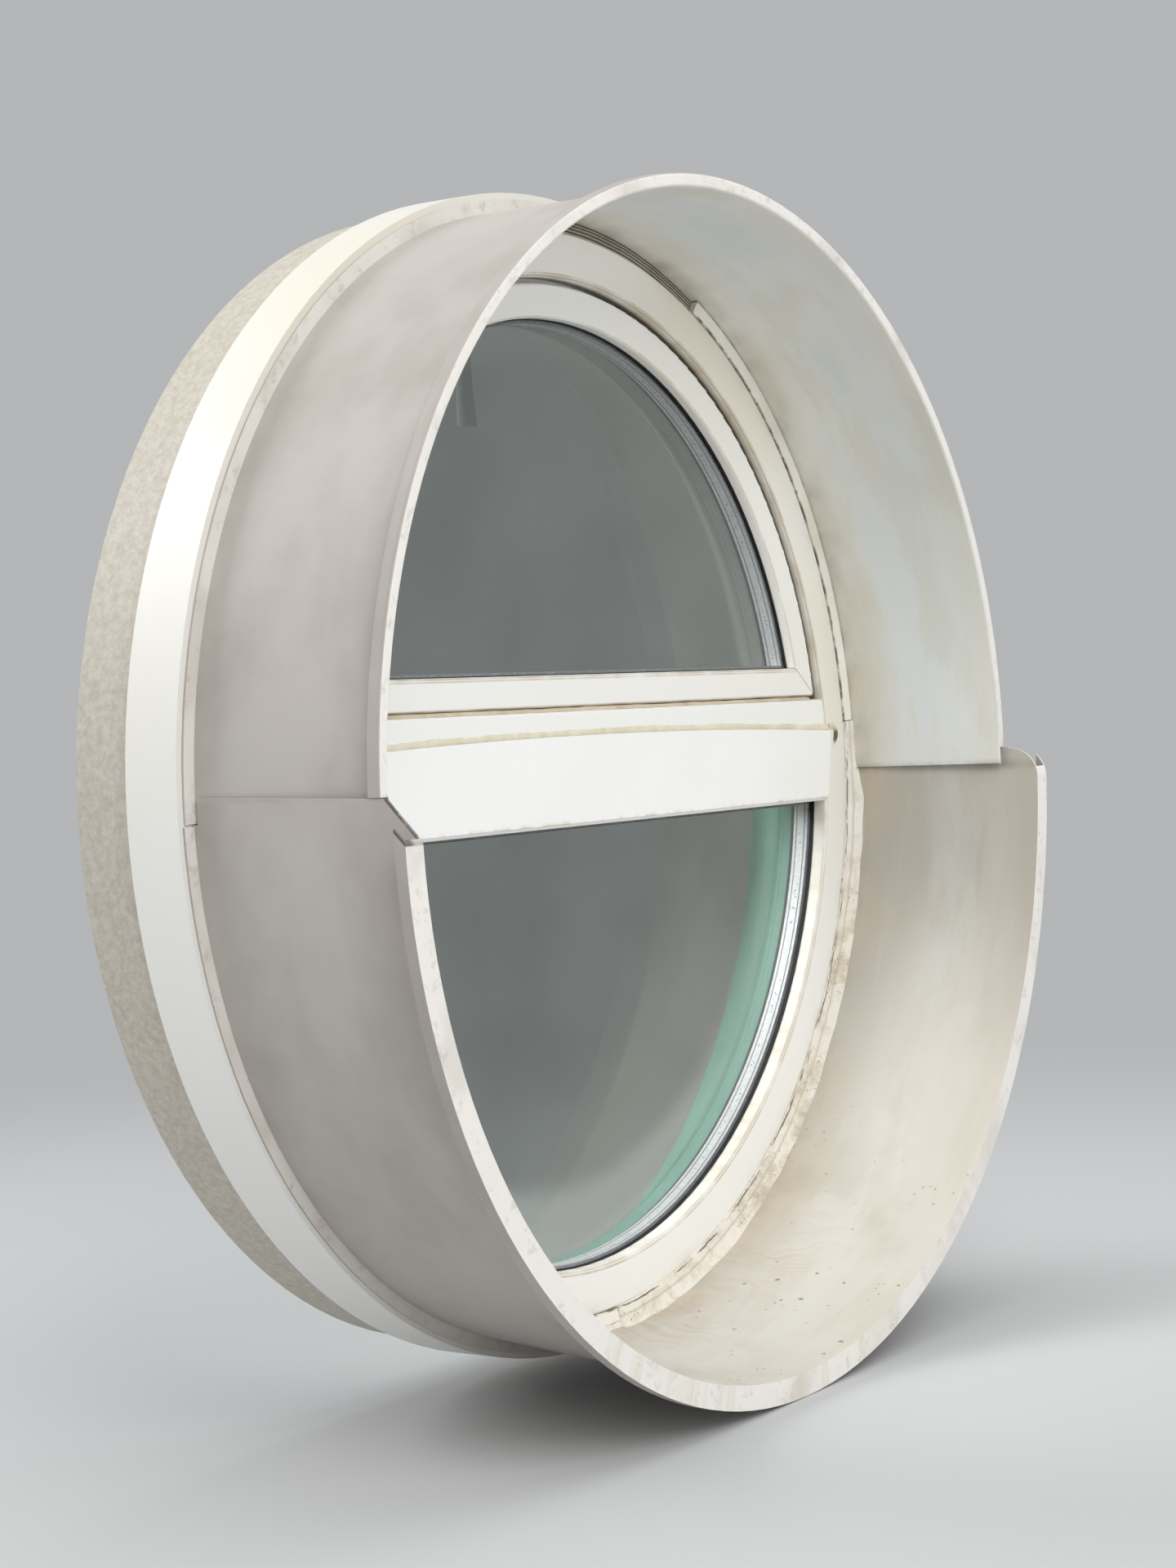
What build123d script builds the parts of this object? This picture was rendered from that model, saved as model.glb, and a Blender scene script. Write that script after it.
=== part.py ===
from build123d import *
from math import asin, cos, degrees, radians, sin, sqrt
import os

os.makedirs("parts", exist_ok=True)

# A round window: a ring frame with a transom, a bottom-hung sash above it, a fixed pane
# below it, a sheet-metal reveal in two half tubes outside and a reveal lining inside.
# X runs to the right as seen from outside, Y into the room and Z up. The origin is on the
# ring's axis, halfway through the depth of the frame. All sizes are in millimetres.

# Reveal liners, folded from painted sheet
reveal_step = 20.0
sheet = 2.0
bend_radius = 1.6
upper_reach = 170.0
upper_lip = 12.0
hem_return = 10.0
lower_reach = 206.0
lower_lip = 21.0
lower_flare = 8.0
lower_drop = 12.0
seam_height = -15.0
rim_notch_height = 2.0
lap_height = 5.0
lap_clearance = 0.4
corner_size = 30.0
back_flange = 13.0

# Ring frame
frame_depth = 70.0
ring_outer_radius = 520.0
ring_body_width = 58.0
lip_thickness = 14.0
lip_overlap = 17.5
lip_round = 3.0
joint_width = 13.0
joint_channel_depth = 18.0

# Joint between the ring and the reveal; angles run counter-clockwise from +X, seen from outside
tape_depth = 12.0
tape_play = 0.2
strip_proud = 1.0
strip_flat = 2.5
strip_crest = 2.0
strip_round = 1.5
strip_spans = {"cover_strip_upper": (4, 63), "cover_strip_lower": (184, 272)}
cove_height = 9.0
cove_radius = 14.0
cove_lip = 2.0
sealant_start = 273
sealant_span = 84

# Transom
transom_top = 40.0
transom_bottom = -29.0
transom_wall = 3.0
steel_wall = 2.0
steel_clearance = 0.3
transom_cover_thickness = 3.0
cover_crown = 35.0
cover_shoulder = 25.0
cover_overlap = 9.0
caulk_width = 5.0
caulk_thickness = 2.2
chamber_outer_depth = 8.0
chamber_room_depth = 7.0

# Glass units and their seats
pane = 4.0
cavity = 16.0
gasket_gap = 4.0
bead_gap = 3.0
glass_bite = 12.5
edge_seal = 4.0
spacer_width = 12.0
gasket_width = 7.5
gasket_show = 1.0
bead_bevel = 6.0
block_length = 80.0
block_spread = 200.0
block_clearance = 0.1

# Sash
sash_play = 4.5
sash_setback = 5.0
sash_face_width = 31.0
sash_lip_thickness = 10.0
rebate_wall = 25.0
rebate_play = 10.0
rebate_bottom_gap = 10.0
sash_flange_overlap = 8.0
flange_stand = 3.0
flange_thickness = 12.0
seal_clearance = 0.3
seal_width = 4.0
rail_face_height = 29.0
rail_wall = 22.0

# Hinges, pin line along X in front of the room face
hinge_span = 280.0
hinge_axis_depth = 12.0
hinge_axis_drop = 8.0
knuckle_radius = 6.5
hinge_pin_radius = 3.0
pin_clearance = 0.05
middle_knuckle = 28.0
end_knuckle = 15.0
knuckle_gap = 0.5
leaf = 3.0
frame_leaf_height = 40.0
sash_leaf_height = 44.0
pin_head = 2.0

# Stay arms, one each side
stay_offset = 7.0
stay_depth = 24.0
stay_pivot_height = 122.0
stay_reach = 46.0
stay_travel = 7.8
stay_arm_width = 13.0
stay_arm_thickness = 3.0
stay_ear = 2.5
stay_gap = 0.3
stay_pin_radius = 2.5
stay_pin_head = 1.6
stay_slot_play = 0.9
stay_slot_offset = -0.65
bracket_size = 16.0
sash_bracket_reach = 44.0
frame_bracket_reach = 12.0

# Handle and lock at the crown
spindle_setback = 12.0
rose_length = 66.0
rose_width = 26.0
rose_thickness = 10.0
neck_radius = 8.5
neck_length = 20.0
lever_length = 118.0
lever_width = 20.0
lever_thickness = 11.0
lever_waist = 17.0
lever_waist_place = 0.55
lever_swell = 3.0
lever_tip_width = 22.0
spindle_size = 7.0
lock_travel = 10.0
bolt_depth = 10.0
hub_gap = 0.6
hub_length = 9.0
crank_eye = 1.0
crank_pin_radius = 2.5
crank_play = 0.35
hub_radius = 8.0
bolt_width = 18.0
bolt_thickness = 4.0
bolt_foot = 1.8
bolt_chamfer = 1.5
bolt_inset = 0.5
faceplate = 2.0
case_wall = 1.5
pocket_foot = 2.2
pocket_side = 4.0
pocket_play = 0.8
case_play = 0.2
spindle_hole_play = 1.3
keep_height = 5.3
keep_length = 44.0
keep_width = 16.0
keep_ramp = 4.0
keep_ramp_rise = 1.0
lock_clearance = 0.4

# Reveal lining on the room side
lining_gap = 3.0
lining_thickness = 8.0
lining_depth = 60.0

# Worked-out places
outdoor_y = -frame_depth / 2
room_y = frame_depth / 2
lip_back_y = outdoor_y + lip_thickness
reveal_radius = ring_outer_radius - reveal_step
face_radius = reveal_radius - joint_width
ring_body_radius = ring_outer_radius - ring_body_width
ring_lip_radius = ring_body_radius - lip_overlap
channel_y = outdoor_y + joint_channel_depth
transom_lip_top = transom_top + lip_overlap
transom_lip_bottom = transom_bottom - lip_overlap
glass_out_y = lip_back_y + gasket_gap
cavity_out_y = glass_out_y + pane
cavity_in_y = cavity_out_y + cavity
glass_in_y = cavity_in_y + pane
bead_y = glass_in_y + bead_gap
sash_outdoor_y = outdoor_y + sash_setback
sash_lip_back_y = sash_outdoor_y + sash_lip_thickness
sash_face_radius = ring_lip_radius - sash_play
sash_lip_radius = sash_face_radius - sash_face_width
sash_body_radius = ring_body_radius - rebate_play
sash_rebate_radius = sash_body_radius - rebate_wall
sash_body_y = lip_back_y + 5.0
flange_y = room_y + flange_stand
sash_room_y = flange_y + flange_thickness
flange_radius = ring_body_radius + sash_flange_overlap
rail_face_bottom = transom_lip_top + 3.5
rail_face_top = rail_face_bottom + rail_face_height
rail_body_bottom = transom_top + rebate_bottom_gap
rail_rebate_bottom = rail_body_bottom + rail_wall
flange_bottom = transom_top - sash_flange_overlap
sash_bead_face_y = flange_y + 2.0
spindle_height = sash_body_radius - spindle_setback
stay_x = ring_body_radius + stay_offset
spindle_hole_radius = spindle_size / sqrt(2) + spindle_hole_play
turn_axis = Axis((0, 0, 0), (0, -1, 0))


def drawn_at(depth):
    """Plane across the window's axis, seen from outside; an extrusion from it grows outwards."""
    return Plane.XZ.offset(-depth)


def radial_plane(angle):
    """Plane through the window's axis at an angle above +X: x is the radius, y the depth."""
    turn = radians(angle)
    return Plane((0, 0, 0), x_dir=(cos(turn), 0, sin(turn)), z_dir=(-sin(turn), 0, cos(turn)))


def half_disc(radius, chord, side, mode=Mode.ADD):
    """Face between an arc and the straight line z = chord, above it (1) or below it (-1)."""
    half = sqrt(radius**2 - chord**2)
    with BuildLine() as outline:
        ThreePointArc((-half, chord), (0, side * radius), (half, chord))
        Line((half, chord), (-half, chord))
    make_face(outline.edges(), mode=mode)


def half_disc_loop(outer, inner, side):
    """Loop between two half discs, each given as (radius, chord)."""
    half_disc(*outer, side)
    half_disc(*inner, side, mode=Mode.SUBTRACT)


def arc_band(radius, thickness, centre_z, start, end):
    """Face of a bent strip about (0, centre_z), between two angles."""
    middle = (start + end) / 2
    inner = [(radius * cos(radians(a)), centre_z + radius * sin(radians(a))) for a in (start, middle, end)]
    outer_radius = radius + thickness
    outer = [
        (outer_radius * cos(radians(a)), centre_z + outer_radius * sin(radians(a)))
        for a in (end, middle, start)
    ]
    with BuildLine() as outline:
        ThreePointArc(*inner)
        Line(inner[-1], outer[0])
        ThreePointArc(*outer)
        Line(outer[-1], inner[0])
    make_face(outline.edges())


def save(builder, name):
    builder.part.label = name
    export_step(builder.part, f"parts/{name}.step")


def make_liner_upper():
    """Upper half tube of the reveal with its hemmed front lip and its back flange."""
    mid = reveal_radius + sheet / 2
    front = outdoor_y - upper_reach + sheet / 2
    start = degrees(asin(seam_height / reveal_radius))
    with BuildPart() as liner_upper:
        with BuildSketch(radial_plane(start)):
            with BuildLine():
                FilletPolyline(
                    (mid + back_flange, channel_y - sheet / 2),
                    (mid, channel_y - sheet / 2),
                    (mid, front),
                    (mid + upper_lip - sheet, front),
                    (mid + upper_lip - sheet, front + hem_return),
                    radius=bend_radius,
                )
            trace(line_width=sheet)
        revolve(axis=turn_axis, revolution_arc=180 - 2 * start)
        notch_x = reveal_radius + sheet + upper_lip
        with Locations(*[(side * notch_x, front, rim_notch_height) for side in (-1, 1)]):
            Box(
                2 * upper_lip,
                2 * (hem_return + sheet),
                2 * (rim_notch_height - seam_height),
                align=(Align.CENTER, Align.CENTER, Align.MAX),
                mode=Mode.SUBTRACT,
            )
    save(liner_upper, "liner_upper")


def make_liner_lower():
    """Lower half tube: it flares and falls outwards and laps round the upper one's ends."""
    back_radius = reveal_radius + sheet + lap_clearance
    front_radius = back_radius + lower_flare
    front_y = outdoor_y - lower_reach
    back_lap = degrees(asin(lap_height / back_radius))
    front_lap = degrees(asin(lower_drop / front_radius))
    lip_radius = front_radius + lower_lip
    with BuildPart() as liner_lower:
        with BuildSketch(drawn_at(channel_y)):
            arc_band(back_radius, sheet, 0, 180 - back_lap, 360 + back_lap)
        with BuildSketch(drawn_at(front_y)):
            arc_band(front_radius, sheet, -lower_drop, 180 - front_lap, 360 + front_lap)
        loft(ruled=True)
        with BuildSketch(drawn_at(front_y + sheet)):
            arc_band(front_radius, lower_lip, -lower_drop, 180 - front_lap, 360 + front_lap)
        extrude(amount=sheet)
        with BuildSketch(drawn_at(front_y + hem_return)):
            arc_band(lip_radius - sheet, sheet, -lower_drop, 180 - front_lap, 360 + front_lap)
        extrude(amount=hem_return)
        with Locations(*[(side * back_radius, channel_y, seam_height - 1.0) for side in (-1, 1)]):
            Box(
                2 * back_flange,
                2 * (sheet + bend_radius + sheet + lap_clearance),
                lap_height - 2 * seam_height,
                align=(Align.CENTER, Align.CENTER, Align.MIN),
                mode=Mode.SUBTRACT,
            )
        flange_start = degrees(asin((seam_height - 2.0) / back_radius))
        with BuildSketch(drawn_at(channel_y)):
            arc_band(back_radius, back_flange, 0, 180 - flange_start, 360 + flange_start)
        extrude(amount=sheet)
        for side in (-1, 1):
            with BuildSketch(Plane.YZ.offset(side * lip_radius / 2)):
                with BuildLine():
                    inner = (front_y + corner_size, 0)
                    outer = (front_y, -corner_size)
                    if side > 0:
                        CenterArc((front_y + corner_size, -corner_size), corner_size, 90, 90)
                    else:
                        Line(inner, outer)
                    Polyline(
                        outer,
                        (front_y - sheet, -corner_size),
                        (front_y - sheet, lap_height + sheet),
                        (front_y + corner_size, lap_height + sheet),
                        inner,
                    )
                make_face()
            extrude(amount=side * lip_radius, mode=Mode.SUBTRACT)
    save(liner_lower, "liner_lower")


def make_joint_pieces():
    """Sealing tape in the channel round the frame's face, its cover strips and the sealant."""
    tape_front_y = channel_y - sheet - tape_depth
    tape_inner = face_radius + tape_play
    tape_outer = reveal_radius - tape_play
    with BuildPart() as sealing_tape:
        with BuildSketch(Plane.XY):
            with Locations(((tape_inner + tape_outer) / 2, channel_y - sheet / 2 - tape_depth / 2)):
                Rectangle(tape_outer - tape_inner, tape_depth + sheet)
        revolve(axis=turn_axis)
    save(sealing_tape, "sealing_tape")

    strip_y = outdoor_y - strip_proud
    for name, (start, end) in strip_spans.items():
        with BuildPart() as cover_strip:
            with BuildSketch(radial_plane(start)):
                with BuildLine():
                    Polyline(
                        (tape_inner, tape_front_y),
                        (tape_inner, outdoor_y - strip_proud / 2),
                        (tape_inner + strip_flat, strip_y),
                        (tape_outer - strip_round, strip_y - strip_crest),
                        (tape_outer, strip_y - strip_crest / 2),
                        (tape_outer, tape_front_y),
                        close=True,
                    )
                make_face()
            revolve(axis=turn_axis, revolution_arc=end - start)
        save(cover_strip, name)

    lip_point = (tape_inner + cove_lip, strip_y - cove_lip / 2)
    with BuildPart() as sealant_bead:
        with BuildSketch(radial_plane(sealant_start)):
            with BuildLine():
                Polyline((tape_inner, tape_front_y), (tape_inner, strip_y), lip_point)
                RadiusArc(lip_point, (tape_outer, outdoor_y - cove_height), -cove_radius)
                Line((tape_outer, outdoor_y - cove_height), (tape_outer, tape_front_y))
                Line((tape_outer, tape_front_y), (tape_inner, tape_front_y))
            make_face()
        revolve(axis=turn_axis, revolution_arc=sealant_span)
    save(sealant_bead, "sealant_bead")


def make_frame_ring():
    """Ring frame, bent and welded from one profile."""
    with BuildPart() as frame_ring:
        with BuildSketch(Plane.XY) as profile:
            with BuildLine():
                Polyline(
                    (ring_lip_radius, lip_back_y),
                    (ring_lip_radius, outdoor_y),
                    (face_radius, outdoor_y),
                    (face_radius, channel_y),
                    (ring_outer_radius, channel_y),
                    (ring_outer_radius, room_y),
                    (ring_body_radius, room_y),
                    (ring_body_radius, lip_back_y),
                    close=True,
                )
            make_face()
            face_corners = profile.vertices().filter_by_position(
                Axis.Y, outdoor_y - 0.1, outdoor_y + 0.1
            )
            fillet(face_corners, radius=lip_round)
        revolve(axis=turn_axis)
    save(frame_ring, "frame_ring")


def make_transom():
    """Chambered transom between the ring's sides, its steel and its outdoor cover plate."""
    body_height = transom_top - transom_bottom
    middle_z = (transom_top + transom_bottom) / 2
    steel_room_y = room_y - transom_wall - chamber_room_depth - transom_wall
    steel_out_y = lip_back_y + transom_wall + chamber_outer_depth + transom_wall
    chamber_height = body_height - 2 * transom_wall
    chambers = (
        (lip_back_y + transom_wall, lip_back_y + transom_wall + chamber_outer_depth),
        (steel_out_y, steel_room_y),
        (steel_room_y + transom_wall, room_y - transom_wall),
    )
    with BuildPart() as transom:
        with BuildSketch(Plane.YZ):
            with Locations(((lip_back_y + room_y) / 2, middle_z)):
                Rectangle(room_y - lip_back_y, body_height)
            for start, end in chambers:
                with Locations(((start + end) / 2, middle_z)):
                    Rectangle(end - start, chamber_height, mode=Mode.SUBTRACT)
        extrude(amount=ring_body_radius, both=True)
        with BuildSketch(drawn_at(room_y)):
            Circle(ring_body_radius)
        extrude(amount=frame_depth, mode=Mode.INTERSECT)
        with BuildSketch(drawn_at(lip_back_y)):
            half_disc_loop((ring_lip_radius, transom_lip_bottom), (ring_lip_radius, transom_lip_top), 1)
        extrude(amount=lip_thickness)
        top_edge = transom.edges().filter_by(Axis.X).group_by(Axis.Y)[0]
        fillet(top_edge, radius=lip_round)
    save(transom, "transom")

    with BuildPart() as transom_steel:
        with BuildSketch(Plane.YZ):
            with Locations(((steel_out_y + steel_room_y) / 2, middle_z)):
                width = steel_room_y - steel_out_y - 2 * steel_clearance
                height = chamber_height - 2 * steel_clearance
                RectangleRounded(width, height, steel_wall)
                Rectangle(width - 2 * steel_wall, height - 2 * steel_wall, mode=Mode.SUBTRACT)
        extrude(amount=ring_body_radius - 3 * glass_bite / 2, both=True)
    save(transom_steel, "transom_steel")

    plate_bottom = transom_lip_bottom + lip_round
    plate_radius = ring_lip_radius + cover_overlap
    with BuildPart() as transom_cover:
        with BuildSketch(drawn_at(outdoor_y)):
            shoulder = sqrt(plate_radius**2 - cover_shoulder**2)
            foot = sqrt(ring_lip_radius**2 - plate_bottom**2)
            with BuildLine():
                ThreePointArc((-shoulder, cover_shoulder), (0, cover_crown), (shoulder, cover_shoulder))
                Line((shoulder, cover_shoulder), (foot, plate_bottom))
                Line((foot, plate_bottom), (-foot, plate_bottom))
                Line((-foot, plate_bottom), (-shoulder, cover_shoulder))
            make_face()
        extrude(amount=transom_cover_thickness)
        outer_face = transom_cover.faces().sort_by(Axis.Y)[0]
        fillet(outer_face.edges().filter_by(Axis.X), radius=transom_cover_thickness / 3)
    save(transom_cover, "transom_cover")

    with BuildPart() as cover_caulk:
        with BuildSketch(drawn_at(outdoor_y)):
            caulk_shoulder = cover_shoulder + caulk_width
            caulk_crown = cover_crown + caulk_width
            with BuildLine():
                ThreePointArc((-shoulder, cover_shoulder), (0, cover_crown), (shoulder, cover_shoulder))
                Line((shoulder, cover_shoulder), (shoulder, caulk_shoulder))
                ThreePointArc((shoulder, caulk_shoulder), (0, caulk_crown), (-shoulder, caulk_shoulder))
                Line((-shoulder, caulk_shoulder), (-shoulder, cover_shoulder))
            make_face()
        extrude(amount=caulk_thickness)
        outer_edge = cover_caulk.faces().sort_by(Axis.Y)[0].edges().sort_by(Axis.Z)[-1]
        fillet(outer_edge, radius=caulk_thickness / 2)
    save(cover_caulk, "cover_caulk")


def make_glass_unit(name, edge, side):
    """Two panes, the spacer bar between them and the dark seal round its edge."""
    radius, chord = edge

    def inset(size):
        return radius - size, chord + side * size

    for suffix, depth in (("outer_pane", cavity_out_y), ("inner_pane", glass_in_y)):
        with BuildPart() as glass:
            with BuildSketch(drawn_at(depth)):
                half_disc(radius, chord, side)
            extrude(amount=pane)
        save(glass, f"{name}_{suffix}")
    with BuildPart() as spacer:
        with BuildSketch(drawn_at(cavity_in_y)):
            half_disc_loop(inset(edge_seal), inset(edge_seal + spacer_width), side)
        extrude(amount=cavity)
    save(spacer, f"{name}_spacer")
    with BuildPart() as seal:
        with BuildSketch(drawn_at(cavity_in_y)):
            half_disc_loop((radius, chord), inset(edge_seal), side)
        extrude(amount=cavity)
    save(seal, f"{name}_edge_seal")


def make_glazing(name, sight, side, bead_top, rebate, bead_room_y, lip_y):
    """Gaskets on both faces of the glass and the beads that hold it from the room side."""
    sight_radius, sight_chord = sight
    rebate_radius, rebate_chord = rebate
    show = (sight_radius - gasket_show, sight_chord + side * gasket_show)
    back = (show[0] + gasket_width, show[1] - side * gasket_width)
    for suffix, start, end in (
        ("outer_gasket", lip_y, glass_out_y),
        ("inner_gasket", glass_in_y, bead_y),
    ):
        with BuildPart() as gasket:
            with BuildSketch(drawn_at(end)):
                half_disc_loop(back, show, side)
            extrude(amount=end - start)
        save(gasket, f"{name}_{suffix}")

    with BuildPart() as arch_bead:
        with BuildSketch(Plane.XY):
            with BuildLine():
                Polyline(
                    (sight_radius, bead_y),
                    (rebate_radius, bead_y),
                    (rebate_radius, bead_room_y),
                    (sight_radius + bead_bevel, bead_room_y),
                    (sight_radius, bead_room_y - 1.5 * bead_bevel),
                    close=True,
                )
            make_face()
        revolve(axis=turn_axis)
        kept = Keep.TOP if side > 0 else Keep.BOTTOM
        split(bisect_by=Plane.XY.offset(rebate_chord), keep=kept)
    save(arch_bead, f"{name}_arch_bead")

    with BuildPart() as straight_bead:
        with BuildSketch(Plane.YZ):
            with BuildLine():
                Polyline(
                    (bead_y, rebate_chord),
                    (bead_room_y, rebate_chord),
                    (bead_room_y, sight_chord - side * bead_bevel),
                    (bead_room_y - 1.5 * bead_bevel, sight_chord),
                    (bead_y, sight_chord),
                    close=True,
                )
            make_face()
        extrude(amount=sight_radius, both=True)
        with BuildSketch(drawn_at(bead_room_y)):
            Circle(sight_radius)
        extrude(amount=bead_top, mode=Mode.INTERSECT)
    save(straight_bead, f"{name}_straight_bead")


def make_lower_blocks(glass_radius):
    """Setting blocks under the fixed pane, bent to the ring."""
    arc = degrees(block_length / ring_body_radius)
    swing = degrees(block_spread / ring_body_radius)
    with BuildPart() as lower_setting_blocks:
        for middle in (270 - swing, 270 + swing):
            with BuildSketch(radial_plane(middle - arc / 2)):
                with Locations(((glass_radius + ring_body_radius) / 2, (glass_out_y + glass_in_y) / 2)):
                    Rectangle(ring_body_radius - glass_radius - 2 * block_clearance, glass_in_y - glass_out_y)
            revolve(axis=turn_axis, revolution_arc=arc)
    save(lower_setting_blocks, "lower_setting_blocks")


def make_sash_blocks(glass_bottom):
    """Setting blocks on the bottom rail's rebate."""
    with BuildPart() as sash_setting_blocks:
        with Locations(*[
            (side * block_spread, (glass_out_y + glass_in_y) / 2, (glass_bottom + rail_rebate_bottom) / 2)
            for side in (-1, 1)
        ]):
            height = glass_bottom - rail_rebate_bottom - 2 * block_clearance
            Box(block_length, glass_in_y - glass_out_y, height)
    save(sash_setting_blocks, "sash_setting_blocks")


def make_sash_frame():
    """Half-round sash, welded into one piece, with the lock's pocket at its crown."""
    rebate = (sash_rebate_radius, rail_rebate_bottom)
    sections = (
        (sash_outdoor_y, sash_lip_back_y, (sash_face_radius, rail_face_bottom), (sash_lip_radius, rail_face_top)),
        (sash_lip_back_y, sash_body_y, (sash_face_radius, rail_face_bottom), rebate),
        (sash_body_y, flange_y, (sash_body_radius, rail_body_bottom), rebate),
        (flange_y, sash_room_y, (flange_radius, flange_bottom), rebate),
    )
    pocket = lock_pocket()
    with BuildPart() as sash_frame:
        for start, end, outer, inner in sections:
            with BuildSketch(drawn_at(end)):
                half_disc_loop(outer, inner, 1)
            extrude(amount=end - start)
        outdoor_face = sash_frame.faces().sort_by(Axis.Y)[0]
        fillet(outdoor_face.edges(), radius=lip_round)
        room_face = sash_frame.faces().sort_by(Axis.Y)[-1]
        fillet(room_face.outer_wire().edges(), radius=lip_round)
        with Locations(pocket["centre"]):
            Box(*pocket["size"], mode=Mode.SUBTRACT)
        with BuildSketch(drawn_at(sash_room_y)):
            with Locations((0, spindle_height)):
                Circle(spindle_hole_radius)
        extrude(amount=sash_room_y - pocket["room_y"] + 1.0, mode=Mode.SUBTRACT)
    save(sash_frame, "sash_frame")


def lock_pocket():
    """Pocket for the lock in the crown of the sash, open to the frame."""
    half_width = bolt_width / 2 + case_wall + pocket_side
    bottom = spindle_height - hub_radius - case_wall - pocket_foot
    top = sash_body_radius + faceplate
    out_y = crank_layers()["bolt_out"] - case_wall - pocket_play
    in_y = crank_layers()["hub_in"] + case_wall + pocket_play
    crank_x = -crank_radius() * cos(radians(45))
    return {
        "centre": (crank_x / 2, (out_y + in_y) / 2, (top + bottom) / 2),
        "size": (2 * half_width - crank_x, in_y - out_y, top - bottom),
        "room_y": in_y,
    }


def crank_radius():
    """A quarter turn of the crank, half each way from level, gives the bolt's travel."""
    return lock_travel / (2 * sin(radians(45)))


def crank_layers():
    """Depths of the bolt and of the hub behind it."""
    bolt_in = bolt_depth + bolt_thickness
    hub_out = bolt_in + hub_gap
    return {"bolt_out": bolt_depth, "bolt_in": bolt_in, "hub_out": hub_out, "hub_in": hub_out + hub_length}


def make_lock():
    """Handle, spindle with its crank, sliding bolt, faceplate and the keep on the ring."""
    layers = crank_layers()
    pocket = lock_pocket()
    crank_x = -crank_radius() * cos(radians(45))
    crank_z = spindle_height - crank_radius() * sin(radians(45))
    bolt_top = sash_body_radius - bolt_inset

    with BuildPart() as handle_rose:
        with BuildSketch(drawn_at(sash_room_y + rose_thickness)):
            with Locations((0, spindle_height)):
                SlotOverall(rose_length, rose_width)
                Circle(neck_radius + lock_clearance, mode=Mode.SUBTRACT)
        extrude(amount=rose_thickness)
        rim = handle_rose.faces().sort_by(Axis.Y)[-1].outer_wire().edges()
        fillet(rim, radius=lip_round)
    save(handle_rose, "handle_rose")

    lever_y = sash_room_y + rose_thickness + neck_length
    with BuildPart() as handle_lever:
        with BuildSketch(drawn_at(lever_y)):
            with Locations((0, spindle_height)):
                Circle(neck_radius)
        extrude(amount=lever_y - sash_room_y - lock_clearance)
        with BuildSketch(Plane.XY.offset(spindle_height + lever_width / 2)):
            with Locations((0, lever_y)):
                RectangleRounded(lever_width, lever_thickness, lever_thickness / 2 - 0.5)
        with BuildSketch(Plane.XY.offset(spindle_height - lever_length * lever_waist_place)):
            with Locations((0, lever_y + lever_swell)):
                RectangleRounded(lever_waist, lever_thickness, lever_thickness / 2 - 0.5)
        with BuildSketch(Plane.XY.offset(spindle_height - lever_length)):
            with Locations((0, lever_y + lever_swell / 3)):
                RectangleRounded(lever_tip_width, lever_thickness + 1, lever_thickness / 2 - 0.5)
        loft()
        tip = handle_lever.faces().sort_by(Axis.Z)[0]
        fillet(tip.edges(), radius=2.0)
    save(handle_lever, "handle_lever")

    with BuildPart() as lock_crank:
        with BuildSketch(drawn_at(layers["hub_in"])):
            with Locations((0, spindle_height)):
                Circle(hub_radius)
            with Locations((crank_x, crank_z)):
                Circle(crank_pin_radius + crank_eye)
            make_hull()
        extrude(amount=layers["hub_in"] - layers["hub_out"])
        with BuildSketch(drawn_at(layers["hub_out"])):
            with Locations((crank_x, crank_z)):
                Circle(crank_pin_radius)
        extrude(amount=layers["hub_out"] - layers["bolt_out"] + 0.4)
        with BuildSketch(drawn_at(sash_room_y + lock_clearance)):
            with Locations((0, spindle_height)):
                Rectangle(spindle_size, spindle_size)
        extrude(amount=sash_room_y + lock_clearance - layers["hub_in"])
    save(lock_crank, "lock_crank")

    slot_height = 2 * (crank_pin_radius + crank_play)
    swing = crank_radius() * (1 - cos(radians(45)))
    with BuildPart() as lock_bolt:
        with BuildSketch(drawn_at(layers["bolt_in"])):
            with BuildLine():
                bottom = crank_z - slot_height / 2 - bolt_foot
                left, right = crank_x - bolt_width / 2, crank_x + bolt_width / 2
                shoulder = bolt_top - bolt_chamfer
                Polyline((left, shoulder), (left, bottom), (right, bottom), (right, shoulder))
                Line((right, shoulder), (right - bolt_chamfer, bolt_top))
                Line((right - bolt_chamfer, bolt_top), (left + bolt_chamfer, bolt_top))
                Line((left + bolt_chamfer, bolt_top), (left, shoulder))
            make_face()
            with Locations((crank_x - swing / 2, crank_z)):
                SlotOverall(slot_height + swing + 4 * crank_play, slot_height, mode=Mode.SUBTRACT)
        extrude(amount=bolt_thickness)
    save(lock_bolt, "lock_bolt")

    faceplate_bottom = bolt_top - faceplate
    with BuildPart() as lock_case:
        size = [value - 2 * case_play for value in pocket["size"]]
        bottom = pocket["centre"][2] - pocket["size"][2] / 2 + case_play
        size[2] = faceplate_bottom - bottom
        with Locations((pocket["centre"][0], pocket["centre"][1], bottom + size[2] / 2)):
            Box(*size)
        with Locations((pocket["centre"][0], pocket["centre"][1], bottom + (size[2] + case_wall) / 2)):
            Box(size[0] - 2 * case_wall, size[1] - 2 * case_wall, size[2] - case_wall, mode=Mode.SUBTRACT)
        with BuildSketch(drawn_at(pocket["room_y"])):
            with Locations((0, spindle_height)):
                Circle(spindle_hole_radius)
        extrude(amount=2 * case_wall, mode=Mode.SUBTRACT)
    save(lock_case, "lock_case")

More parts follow.
